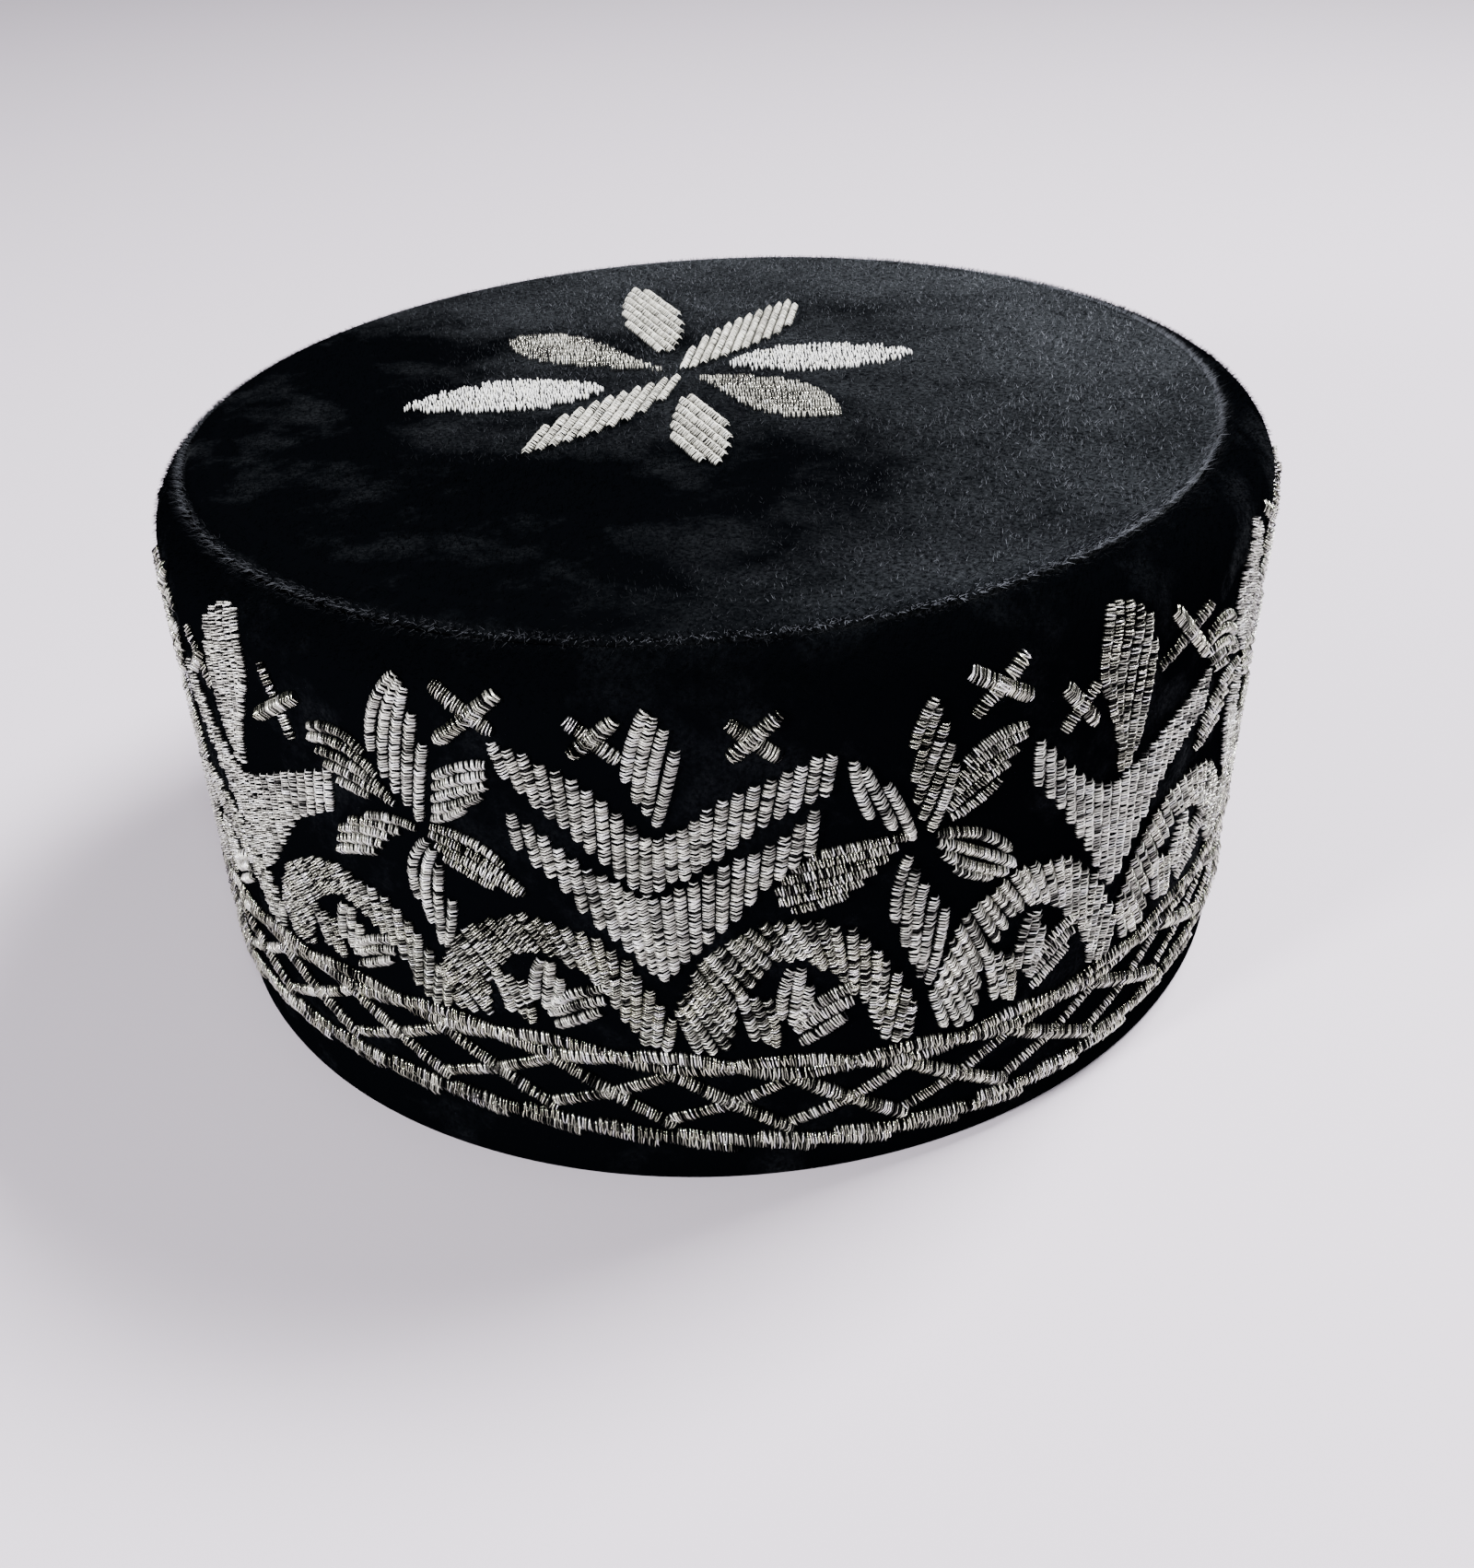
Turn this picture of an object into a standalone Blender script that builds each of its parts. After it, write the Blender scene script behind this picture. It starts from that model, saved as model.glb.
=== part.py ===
# Embroidered velvet pillbox cap: a stiffened oval side band that rolls over a soft
# shoulder, a flat crown panel sewn inside it, and raised thread motifs on both.
# Units are metres, +Z is up, -Y is the wearer's front and the rim stands on Z = 0.
import math

import bmesh
import bpy
import numpy as np

MM = 0.001

# Cap sizes
CAP_LENGTH = 188.0 * MM
CAP_WIDTH = 181.0 * MM
CAP_HEIGHT = 90.2 * MM
CLOTH = 2.5 * MM
HEM_INSET = 2.9 * MM
SHOULDER_RADIUS = 11.0 * MM
SEAM_ROLL = 0.9 * MM
HEM_CHAMFER = 0.6 * MM
CROWN_DOME = 1.2 * MM
SEAM_GAP = 0.3 * MM
CROWN_SLOPE_X = 0.035
CROWN_SLOPE_Y = -0.022
OVAL_SIDES = 64
# The crown panel was sewn on off centre: its seam lies low on the shoulder round most of
# the cap and climbs almost onto the flat on one side
SEAM_LOW_TILT = math.radians(56.0)
SEAM_HIGH_TILT = math.radians(86.0)
SEAM_HIGH_TURN = math.radians(58.0)

# Embroidery sizes: the band is charted on squares, a repeat is two motifs wide
REPEATS = 4
CHART_COLUMNS = 144
CHART_ROWS = 90
MOTIF_TURN = math.radians(-53.2)
PAD_HEIGHT = 0.9 * MM
PAD_GAP = 0.3 * MM
BORDER_DRIFT = 3.1
DRIFT_WAVES = 3
DRIFT_PEAK_COLUMN = -48.0
DRIFT_FULL_ROW = 26.0
DRIFT_END_ROW = 48.0

# Crown star sizes
STAR_X = -9.8 * MM
STAR_Y = 2.1 * MM
STAR_TURN = math.radians(41.0)
STAR_SQUARE = 1.0 * MM

# Colours, as linear red, green, blue
VELVET_BLACK = (0.010, 0.011, 0.014, 1.0)
SILVER_THREAD = (0.52, 0.51, 0.47, 1.0)
IVORY_THREAD = (0.70, 0.69, 0.58, 1.0)

# Sections of the chevrons: column from the motif's axis, lowest row, highest row
CHEVRON_A_UPPER = [
    (-22.4, 71.8, 76.8), (-19.0, 69.3, 74.6), (-15.0, 65.5, 72.5), (-11.0, 61.0, 71.0),
    (-7.0, 57.8, 67.0), (-3.5, 54.2, 65.0), (-1.0, 53.0, 62.3), (3.0, 56.0, 64.0),
    (7.0, 59.3, 66.5), (12.0, 63.3, 69.5), (17.0, 66.0, 71.3), (23.3, 69.3, 73.3),
]
CHEVRON_A_LOWER = [
    (-21.0, 60.3, 64.2), (-17.5, 57.3, 62.0), (-13.0, 52.0, 59.5), (-8.5, 47.5, 56.5),
    (-4.0, 42.0, 53.3), (-1.0, 38.6, 51.8), (2.0, 42.0, 54.2), (6.0, 45.5, 56.5),
    (10.0, 50.0, 59.0), (14.0, 54.0, 61.0), (18.0, 57.2, 63.8), (21.0, 59.8, 64.6),
]
CHEVRON_B = [
    (-17.5, 62.5, 67.5), (-14.0, 57.5, 65.0), (-10.0, 52.5, 60.5), (-6.0, 46.5, 58.0),
    (-3.0, 42.0, 56.0), (0.0, 38.5, 55.0), (3.0, 41.0, 56.0), (7.0, 46.0, 58.0),
    (11.0, 50.5, 60.0), (16.0, 56.0, 62.0), (21.0, 58.5, 63.5),
]
# Sections of a scroll arch: column from its left foot, lowest row, highest row
SCROLL_ARCH = [
    (0.0, 28.0, 31.0), (1.5, 26.5, 35.0), (3.5, 25.9, 40.0), (7.5, 27.0, 44.0),
    (9.5, 36.0, 45.4), (14.5, 41.5, 47.3), (19.0, 41.6, 46.4), (23.0, 38.5, 44.6),
    (28.0, 31.2, 40.6), (32.0, 25.9, 35.0), (35.2, 25.9, 30.0),
]

# A lens is a leaf or petal: base column and row, tip column and row, then how far its
# left and right sides stand out from that axis and at which share of its length
LEAF_A = (-0.5, 63.9, -0.3, 82.0, 4.2, 0.42, 3.2, 0.55)
LEAF_B = (0.0, 56.5, -4.5, 85.0, 3.9, 0.62, 6.7, 0.62)
FLOWER_LEFT = [
    (-34.5, 60.6, -35.7, 83.5, 6.2, 0.50, 2.2, 0.45),
    (-34.5, 60.6, -23.5, 72.0, 3.9, 0.52, 2.7, 0.52),
    (-34.5, 60.6, -19.9, 50.9, 3.5, 0.55, 2.6, 0.42),
    (-34.5, 60.6, -34.0, 39.3, 3.0, 0.62, 3.8, 0.42),
    (-34.5, 60.6, -51.3, 49.9, 1.2, 0.60, 4.3, 0.62),
    (-34.5, 60.6, -54.2, 71.3, 4.3, 0.62, 4.5, 0.60),
]
FLOWER_RIGHT = [
    (35.8, 58.6, 37.0, 79.4, 3.0, 0.55, 4.5, 0.40),
    (35.8, 58.6, 25.4, 71.9, 2.4, 0.55, 1.6, 0.60),
    (35.8, 58.6, 51.7, 70.8, 4.0, 0.50, 3.4, 0.55),
    (35.8, 58.6, 52.0, 49.6, 2.8, 0.60, 3.7, 0.55),
    (35.8, 58.6, 36.9, 34.0, 3.9, 0.58, 4.7, 0.45),
    (35.8, 58.6, 15.4, 50.9, 4.3, 0.55, 4.8, 0.62),
]
SPRIG = [
    (15.8, 26.2, 8.6, 37.2, 2.2, 0.55, 2.2, 0.55),
    (15.8, 26.2, 17.3, 40.6, 3.0, 0.60, 3.0, 0.60),
    (15.8, 26.2, 25.7, 36.6, 2.4, 0.55, 2.6, 0.55),
]
# Star petals on the crown, in squares from the star's centre
STAR_PETALS = [
    ("north", (-2.8, 11.0, -10.7, 53.5, 4.6, 0.50, 5.2, 0.50)),
    ("north_east", (1.0, 3.4, 19.0, 41.0, 4.7, 0.42, 6.2, 0.60)),
    ("east", (7.6, 4.2, 40.0, 8.8, 7.0, 0.42, 6.0, 0.52)),
    ("south_east", (2.4, -2.0, 26.0, -21.6, 7.6, 0.52, 6.2, 0.66)),
    ("south", (0.6, -10.4, 6.6, -42.0, 4.3, 0.50, 4.6, 0.60)),
    ("south_west", (-1.9, -2.6, -23.6, -34.5, 5.4, 0.45, 4.4, 0.62)),
    ("west", (-12.7, -5.4, -45.6, -12.0, 6.6, 0.40, 7.6, 0.50)),
    ("north_west", (-2.6, 2.0, -32.0, 22.8, 6.4, 0.62, 6.8, 0.70)),
]
LOWER_BORDER = (6.7, 10.9)
UPPER_BORDER = (20.9, 25.2)
BAND_STEP = 5.6
SHOULDER_STEP = 4.2
STAR_STEP = 8.5
LENS_SHARPNESS = 0.8
HUB_RADIUS = 1.5
HUB_SIDES = 6
PETAL_START = 0.6
SPRIG_HUB_LIFT = 1.0
SCROLLS = 4
SCROLL_SPACING = CHART_COLUMNS / SCROLLS
FIRST_SCROLL = 1.2
MOTIF_B_COLUMN = CHART_COLUMNS / 2


def clear_scene():
    for old in list(bpy.data.objects):
        bpy.data.objects.remove(old, do_unlink=True)


def make_collection(name):
    collection = bpy.data.collections.new(name)
    bpy.context.scene.collection.children.link(collection)
    return collection


def make_material(name, colour, roughness, metallic):
    material = bpy.data.materials.new(name)
    material.use_nodes = True
    shader = material.node_tree.nodes["Principled BSDF"]
    shader.inputs["Base Color"].default_value = colour
    shader.inputs["Roughness"].default_value = roughness
    shader.inputs["Metallic"].default_value = metallic
    return material


def add_object(name, mesh, material):
    mesh.materials.clear()
    mesh.materials.append(material)
    piece = bpy.data.objects.new(name, mesh)
    CAP.objects.link(piece)
    return piece


# The oval of the cap, as points evenly spaced by arc
OVAL_SAMPLES = 2880


def sample_oval():
    turn = np.linspace(0.0, 2.0 * math.pi, OVAL_SAMPLES + 1)
    half_width = CAP_WIDTH / 2
    half_length = CAP_LENGTH / 2
    x = half_width * np.cos(turn)
    y = half_length * np.sin(turn)
    steps = np.hypot(np.diff(x), np.diff(y))
    arc = np.concatenate([[0.0], np.cumsum(steps)])
    return turn, arc


OVAL_TURN, OVAL_ARC = sample_oval()
CIRCUMFERENCE = float(OVAL_ARC[-1])
STRAIGHT_HEIGHT = CAP_HEIGHT - SHOULDER_RADIUS
SHOULDER_INSET = HEM_INSET * SHOULDER_RADIUS / CAP_HEIGHT
FLAT_INSET = SHOULDER_INSET + SHOULDER_RADIUS


def oval_point(arc):
    """Point and outward direction on the cap's widest outline."""
    turn = float(np.interp(arc % CIRCUMFERENCE, OVAL_ARC, OVAL_TURN))
    half_width = CAP_WIDTH / 2
    half_length = CAP_LENGTH / 2
    x = half_width * math.cos(turn)
    y = half_length * math.sin(turn)
    out_x = half_length * math.cos(turn)
    out_y = half_width * math.sin(turn)
    size = math.hypot(out_x, out_y)
    return x, y, out_x / size, out_y / size


def arc_at_direction(direction):
    """Arc where the outline is met by a ray from the centre in this direction."""
    turn = math.atan2(math.sin(direction) / CAP_LENGTH, math.cos(direction) / CAP_WIDTH)
    return float(np.interp(turn % (2.0 * math.pi), OVAL_TURN, OVAL_ARC))


def with_slope(x, y, z):
    """The crown stands a little higher on one side, and the band grows with it."""
    return z * (1.0 + (CROWN_SLOPE_X * x + CROWN_SLOPE_Y * y) / CAP_HEIGHT)


def wall_section(height):
    """Inset, height and outward tilt of the band's outer face at a climb from the rim."""
    if height <= STRAIGHT_HEIGHT:
        return HEM_INSET * (1.0 - height / CAP_HEIGHT), height, 0.0
    tilt = min((height - STRAIGHT_HEIGHT) / SHOULDER_RADIUS, math.pi / 2)
    inset = SHOULDER_INSET + SHOULDER_RADIUS * (1.0 - math.cos(tilt))
    return inset, STRAIGHT_HEIGHT + SHOULDER_RADIUS * math.sin(tilt), tilt


def band_point(arc, height, lift):
    """Place on the band: along it, up it and out from its face."""
    x, y, out_x, out_y = oval_point(arc)
    inset, z, tilt = wall_section(height)
    out = lift * math.cos(tilt) - inset
    x = x + out_x * out
    y = y + out_y * out
    return x, y, with_slope(x, y, z + lift * math.sin(tilt))


def crown_rise(share):
    """Height of the crown panel above the cap's height at a share of its radius."""
    return CROWN_DOME * (1.0 - share * share)


def crown_point(x, y, lift):
    """Place on the crown panel above a point of the plan."""
    half_width = CAP_WIDTH / 2 - FLAT_INSET
    half_length = CAP_LENGTH / 2 - FLAT_INSET
    share = min(math.hypot(x / half_width, y / half_length), 1.0)
    return x, y, with_slope(x, y, CAP_HEIGHT + crown_rise(share) + lift)


def evaluated_mesh(piece):
    depsgraph = bpy.context.evaluated_depsgraph_get()
    depsgraph.update()
    return bpy.data.meshes.new_from_object(piece.evaluated_get(depsgraph))


def tidy_mesh(mesh):
    """Face the surface outwards, in triangles, and shade it smooth."""
    shape = bmesh.new()
    shape.from_mesh(mesh)
    bmesh.ops.recalc_face_normals(shape, faces=shape.faces)
    bmesh.ops.triangulate(shape, faces=shape.faces)
    shape.to_mesh(mesh)
    shape.free()
    mesh.shade_smooth()
    mesh.set_sharp_from_angle(angle=math.radians(35.0))
    return mesh


def lofted(sections, closed):
    """Mesh through like sections round the oval, each a loop or an open row of points."""
    shape = bmesh.new()
    rings = [[shape.verts.new(point) for point in section] for section in sections]
    count = len(sections[0])
    for here, after in zip(rings, rings[1:] + rings[:1]):
        for first in range(count if closed else count - 1):
            second = (first + 1) % count
            shape.faces.new((here[first], after[first], after[second], here[second]))
    if not closed:
        for row, height in CENTRE_HEIGHTS.items():
            middle = shape.verts.new((0.0, 0.0, height))
            for here, after in zip(rings, rings[1:] + rings[:1]):
                shape.faces.new((middle, here[row], after[row]))
    mesh = bpy.data.meshes.new("loft")
    shape.to_mesh(mesh)
    shape.free()
    return tidy_mesh(mesh)


def seam_tilt(arc):
    """How far up the shoulder's curve the seam lies, 90 degrees being the flat top."""
    x, y, _, _ = oval_point(arc)
    nearness = 0.5 + 0.5 * math.cos(math.atan2(y, x) - SEAM_HIGH_TURN)
    return SEAM_LOW_TILT + (SEAM_HIGH_TILT - SEAM_LOW_TILT) * nearness**2


def placed(arc, inset, z):
    """Point at an inset from the widest outline, with the crown's slope."""
    x, y, out_x, out_y = oval_point(arc)
    x = x - out_x * inset
    y = y - out_y * inset
    return x, y, with_slope(x, y, z)


def shoulder_point(arc, tilt, depth):
    """Point at a tilt on the shoulder's curve, at a depth below its outer face."""
    radius = SHOULDER_RADIUS - depth
    inset = SHOULDER_INSET + SHOULDER_RADIUS - radius * math.cos(tilt)
    return placed(arc, inset, STRAIGHT_HEIGHT + radius * math.sin(tilt))


# Side band: a closed section from the rim up to the seam and back down inside
OUTER_SHARES = (0.28, 0.56, 0.8, 0.94)
INNER_SHARES = (1.0, 0.65, 0.33, 0.0)
OVAL_ARCS = [CIRCUMFERENCE * side / OVAL_SIDES for side in range(OVAL_SIDES)]
SEAM_HALF_GAP = SEAM_GAP / 2 / SHOULDER_RADIUS


def band_section(arc):
    end = seam_tilt(arc) - SEAM_HALF_GAP
    rim_out = HEM_INSET
    rim_in = HEM_INSET + CLOTH
    section = [placed(arc, rim_out + HEM_CHAMFER, 0.0), placed(arc, rim_out, HEM_CHAMFER)]
    section.append(shoulder_point(arc, 0.0, 0.0))
    section += [shoulder_point(arc, share * end, 0.0) for share in OUTER_SHARES]
    section.append(shoulder_point(arc, end, SEAM_ROLL))
    section += [shoulder_point(arc, share * end, CLOTH) for share in INNER_SHARES]
    section.append(placed(arc, rim_in, HEM_CHAMFER))
    section.append(placed(arc, rim_in - HEM_CHAMFER, 0.0))
    return section


def make_side_band():
    mesh = lofted([band_section(arc) for arc in OVAL_ARCS], True)
    return add_object("side_band", mesh, VELVET)


# Crown panel: from its middle over the flat and down the shoulder to the seam
CROWN_SHARES = (0.6, 1.0)
CROWN_EDGE_SHARES = (0.5, 0.88)
CENTRE_HEIGHTS = {0: CAP_HEIGHT + CROWN_DOME, -1: CAP_HEIGHT + CROWN_DOME - CLOTH}


def crown_section(arc):
    end = seam_tilt(arc) + SEAM_HALF_GAP
    flat = math.pi / 2
    edge_x, edge_y, _ = placed(arc, FLAT_INSET, 0.0)
    section = []
    for share in CROWN_SHARES:
        section.append(crown_point(edge_x * share, edge_y * share, 0.0))
    for share in CROWN_EDGE_SHARES:
        section.append(shoulder_point(arc, flat + (end - flat) * share, 0.0))
    section.append(shoulder_point(arc, end, SEAM_ROLL))
    section.append(shoulder_point(arc, end, CLOTH))
    section.append(shoulder_point(arc, flat, CLOTH))
    return section


def make_crown_top():
    mesh = lofted([crown_section(arc) for arc in OVAL_ARCS], False)
    return add_object("crown_top", mesh, VELVET)


# Embroidery on the band
SQUARE_WIDE = CIRCUMFERENCE / (REPEATS * CHART_COLUMNS)
SQUARE_HIGH = CAP_HEIGHT / CHART_ROWS
MOTIF_ARC = arc_at_direction(MOTIF_TURN)


def drifted_row(column, row):
    """The border wanders up and down by hand, and takes the scrolls' feet with it."""
    span = DRIFT_END_ROW - DRIFT_FULL_ROW
    fade = min(max((DRIFT_END_ROW - row) / span, 0.0), 1.0)
    columns_round = REPEATS * CHART_COLUMNS
    phase = 2.0 * math.pi * DRIFT_WAVES * (column - DRIFT_PEAK_COLUMN) / columns_round
    return row + fade * BORDER_DRIFT * math.cos(phase)


def chart_to_band(column, row, lift):
    arc = MOTIF_ARC + column * SQUARE_WIDE
    return band_point(arc, drifted_row(column, row) * SQUARE_HIGH, PAD_GAP + lift)


def chart_to_crown(column, row, lift):
    x = STAR_SQUARE * (column * math.cos(STAR_TURN) - row * math.sin(STAR_TURN))
    y = STAR_SQUARE * (column * math.sin(STAR_TURN) + row * math.cos(STAR_TURN))
    return crown_point(STAR_X + x, STAR_Y + y, PAD_GAP + lift)


def moved_sections(sections, column):
    """Low and high points of a row of upright sections."""
    low = [(column + across, bottom) for across, bottom, _ in sections]
    high = [(column + across, top) for across, _, top in sections]
    return low, high


def side_bulge(share, bulge, widest):
    """How far a lens stands out from its axis at a share of its length."""
    warped = share ** (math.log(0.5) / math.log(widest))
    return bulge * max(math.sin(math.pi * warped), 0.0) ** LENS_SHARPNESS


def lens_sides(lens, step_length, column=0.0, mirror=1.0):
    """Right and left points of a lens between its base and its tip."""
    base_column, base_row, tip_column, tip_row, left, left_at, right, right_at = lens
    length = math.hypot(tip_column - base_column, tip_row - base_row)
    along_x = (tip_column - base_column) / length
    along_y = (tip_row - base_row) / length
    right_side = []
    left_side = []
    steps = math.ceil(length / step_length)
    for step in range(steps + 1):
        share = step / steps
        x = base_column + along_x * length * share
        y = base_row + along_y * length * share
        out = side_bulge(share, right, right_at)
        right_side.append((column + mirror * (x + along_y * out), y - along_x * out))
        out = side_bulge(share, left, left_at)
        left_side.append((column + mirror * (x - along_y * out), y + along_x * out))
    return right_side, left_side


def strip_mesh(first, second):
    """Flat padded strip between two rows of chart points, PAD_HEIGHT thick."""
    shape = bmesh.new()
    floor = []
    for near, far in zip(first, second):
        pair = [shape.verts.new((near[0], near[1], 0.0))]
        if math.dist(near, far) > 0.001:
            pair.append(shape.verts.new((far[0], far[1], 0.0)))
        floor.append(pair)
    for here, after in zip(floor, floor[1:]):
        corners = here[:1] + after + here[1:][::-1]
        shape.faces.new(corners)
    bmesh.ops.recalc_face_normals(shape, faces=shape.faces)
    raised = bmesh.ops.extrude_face_region(shape, geom=list(shape.faces))["geom"]
    for item in raised:
        if isinstance(item, bmesh.types.BMVert):
            item.co.z = 1.0
    bmesh.ops.recalc_face_normals(shape, faces=shape.faces)
    mesh = bpy.data.meshes.new("strip")
    shape.to_mesh(mesh)
    shape.free()
    return mesh


def hub_and_petals(petals, hub_lift, column):
    """Strips of a flower: a small hub, and petals that start just off its centre."""
    hub_column = column + petals[0][0]
    hub_row = petals[0][1] + hub_lift
    half_turn = [math.pi * side / (HUB_SIDES / 2) for side in range(HUB_SIDES // 2 + 1)]
    low = [(hub_column - HUB_RADIUS * math.cos(turn), hub_row - HUB_RADIUS * math.sin(turn))
           for turn in half_turn]
    high = [(x, 2.0 * hub_row - y) for x, y in low]
    strips = [strip_mesh(low, high)]
    for base_column, base_row, tip_column, tip_row, *sides in petals:
        length = math.hypot(tip_column - base_column, tip_row - base_row)
        start_column = base_column + (tip_column - base_column) * PETAL_START / length
        start_row = base_row + (tip_row - base_row) * PETAL_START / length
        lens = (start_column, start_row, tip_column, tip_row, *sides)
        strips.append(strip_mesh(*lens_sides(lens, BAND_STEP, column)))
    return strips


def joined_strips(strips):
    """One closed mesh from strips that overlap where their stitches meet."""
    pieces = []
    for mesh in strips:
        piece = bpy.data.objects.new("strip", mesh)
        CUTTERS.objects.link(piece)
        piece.hide_render = True
        piece.display_type = "WIRE"
        pieces.append(piece)
    for other in pieces[1:]:
        union = pieces[0].modifiers.new("join", "BOOLEAN")
        union.operation = "UNION"
        union.object = other
    result = evaluated_mesh(pieces[0])
    for piece in pieces:
        bpy.data.objects.remove(piece, do_unlink=True)
    return result


def make_pad(name, strips, to_surface, material):
    """A raised motif: strips joined flat on the chart, then laid on the cloth."""
    mesh = joined_strips(strips) if len(strips) > 1 else strips[0]
    for vertex in mesh.vertices:
        column, row, level = vertex.co
        vertex.co = to_surface(column, row, level * PAD_HEIGHT)
    return add_object(name, tidy_mesh(mesh), material)


def make_band_motifs():
    for repeat in range(REPEATS):
        number = repeat + 1
        start = repeat * CHART_COLUMNS
        axis_b = start + MOTIF_B_COLUMN
        mirror = -1.0 if repeat % 2 else 1.0
        upright = [
            ("upper_chevron", CHEVRON_A_UPPER, start),
            ("lower_chevron", CHEVRON_A_LOWER, start),
            ("broad_chevron", CHEVRON_B, axis_b),
        ]
        for label, sections, column in upright:
            strip = strip_mesh(*moved_sections(sections, column))
            make_pad(f"{label}_{number}", [strip], chart_to_band, SILVER)
        bud = strip_mesh(*lens_sides(LEAF_A, BAND_STEP, start))
        make_pad(f"bud_leaf_{number}", [bud], chart_to_band, SILVER)
        tall = strip_mesh(*lens_sides(LEAF_B, SHOULDER_STEP, axis_b, mirror))
        make_pad(f"tall_leaf_{number}", [tall], chart_to_band, SILVER)
        for label, petals in (("left_flower", FLOWER_LEFT), ("right_flower", FLOWER_RIGHT)):
            strips = hub_and_petals(petals, 0.0, start)
            make_pad(f"{label}_{number}", strips, chart_to_band, SILVER)


def make_scrolls():
    for place in range(REPEATS * SCROLLS):
        column = FIRST_SCROLL + place * SCROLL_SPACING
        strips = [strip_mesh(*moved_sections(SCROLL_ARCH, column))]
        strips += hub_and_petals(SPRIG, SPRIG_HUB_LIFT, column)
        make_pad(f"scroll_{place + 1:02d}", strips, chart_to_band, SILVER)


def make_border(name, rows):
    """A closed ring of thread round the band, between two rows of the chart."""
    shape = bmesh.new()
    columns_round = REPEATS * CHART_COLUMNS
    rings = []
    for side in range(OVAL_SIDES):
        column = columns_round * side / OVAL_SIDES - MOTIF_ARC / SQUARE_WIDE
        corners = [(rows[0], 0.0), (rows[1], 0.0), (rows[1], PAD_HEIGHT), (rows[0], PAD_HEIGHT)]
        rings.append([shape.verts.new(chart_to_band(column, *corner)) for corner in corners])
    for here, after in zip(rings, rings[1:] + rings[:1]):
        for first in range(len(here)):
            second = (first + 1) % len(here)
            shape.faces.new((here[first], after[first], after[second], here[second]))
    mesh = bpy.data.meshes.new(name)
    shape.to_mesh(mesh)
    shape.free()
    return add_object(name, tidy_mesh(mesh), SILVER)


def make_star():
    for label, petal in STAR_PETALS:
        strip = strip_mesh(*lens_sides(petal, STAR_STEP))
        make_pad(f"star_petal_{label}", [strip], chart_to_crown, IVORY)


clear_scene()
CAP = make_collection("embroidered_velvet_cap")
CUTTERS = make_collection("cutters")
VELVET = make_material("black_velvet", VELVET_BLACK, 0.95, 0.0)
SILVER = make_material("silver_thread", SILVER_THREAD, 0.42, 0.55)
IVORY = make_material("ivory_thread", IVORY_THREAD, 0.5, 0.25)
make_side_band()
make_crown_top()
make_border("lower_border", LOWER_BORDER)
make_border("upper_border", UPPER_BORDER)
make_scrolls()
make_band_motifs()
make_star()
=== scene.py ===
import math
import bpy
import numpy as np
from mathutils import Matrix, Vector


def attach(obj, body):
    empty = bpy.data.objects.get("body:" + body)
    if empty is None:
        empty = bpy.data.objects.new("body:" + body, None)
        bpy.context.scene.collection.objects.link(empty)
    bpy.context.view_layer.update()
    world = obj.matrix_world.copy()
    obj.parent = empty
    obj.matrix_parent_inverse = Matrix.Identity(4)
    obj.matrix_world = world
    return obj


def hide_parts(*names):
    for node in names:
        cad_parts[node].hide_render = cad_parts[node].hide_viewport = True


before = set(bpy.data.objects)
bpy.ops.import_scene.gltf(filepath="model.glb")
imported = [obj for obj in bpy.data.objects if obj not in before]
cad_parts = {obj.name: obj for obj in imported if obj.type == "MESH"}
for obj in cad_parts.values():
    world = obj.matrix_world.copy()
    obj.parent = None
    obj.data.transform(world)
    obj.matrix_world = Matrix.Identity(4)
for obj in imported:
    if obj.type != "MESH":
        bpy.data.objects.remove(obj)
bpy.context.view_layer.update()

# Side band: a strip of black velvet on stiff lining, wrapped round an oval. It is turned
# in at the hem and rolls over a soft shoulder, where a sewn seam holds the crown panel.
MM = 0.001
CAP_LENGTH = 188.0 * MM
CAP_WIDTH = 181.0 * MM
CAP_HEIGHT = 90.2 * MM
CLOTH = 2.5 * MM
HEM_INSET = 2.9 * MM
HEM_ROUND = 0.9 * MM
SHOULDER_RADIUS = 11.0 * MM
SEAM_DEPTH = 1.2 * MM
SEAM_GAP = 0.3 * MM
CROWN_SLOPE_X = 0.035
CROWN_SLOPE_Y = -0.022
SEAM_LOW_TILT = math.radians(56.0)
SEAM_HIGH_TILT = math.radians(86.0)
SEAM_HIGH_TURN = math.radians(58.0)
SEAM_HALF_GAP = SEAM_GAP / 2 / SHOULDER_RADIUS
OVAL_SAMPLES = 2880
CLOTH_SIDES = 288
STRAIGHT_HEIGHT = CAP_HEIGHT - SHOULDER_RADIUS
SHOULDER_INSET = HEM_INSET * SHOULDER_RADIUS / CAP_HEIGHT
FLAT_INSET = SHOULDER_INSET + SHOULDER_RADIUS
VELVET_DEEP = (0.0008, 0.0010, 0.0014, 1.0)
# Velvet colour of lifted pile specks and of the crown's painted sheen
VELVET_PILE_AND_SHEEN = (0.012, 0.0135, 0.016, 1.0)
VELVET_SHEEN_TINT = (0.60, 0.64, 0.70, 1.0)

OVAL_TURN = np.linspace(0.0, 2.0 * math.pi, OVAL_SAMPLES + 1)
OVAL_STEPS = np.hypot(
    np.diff(CAP_WIDTH / 2 * np.cos(OVAL_TURN)), np.diff(CAP_LENGTH / 2 * np.sin(OVAL_TURN))
)
OVAL_ARC = np.concatenate([[0.0], np.cumsum(OVAL_STEPS)])
CIRCUMFERENCE = float(OVAL_ARC[-1])


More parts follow.
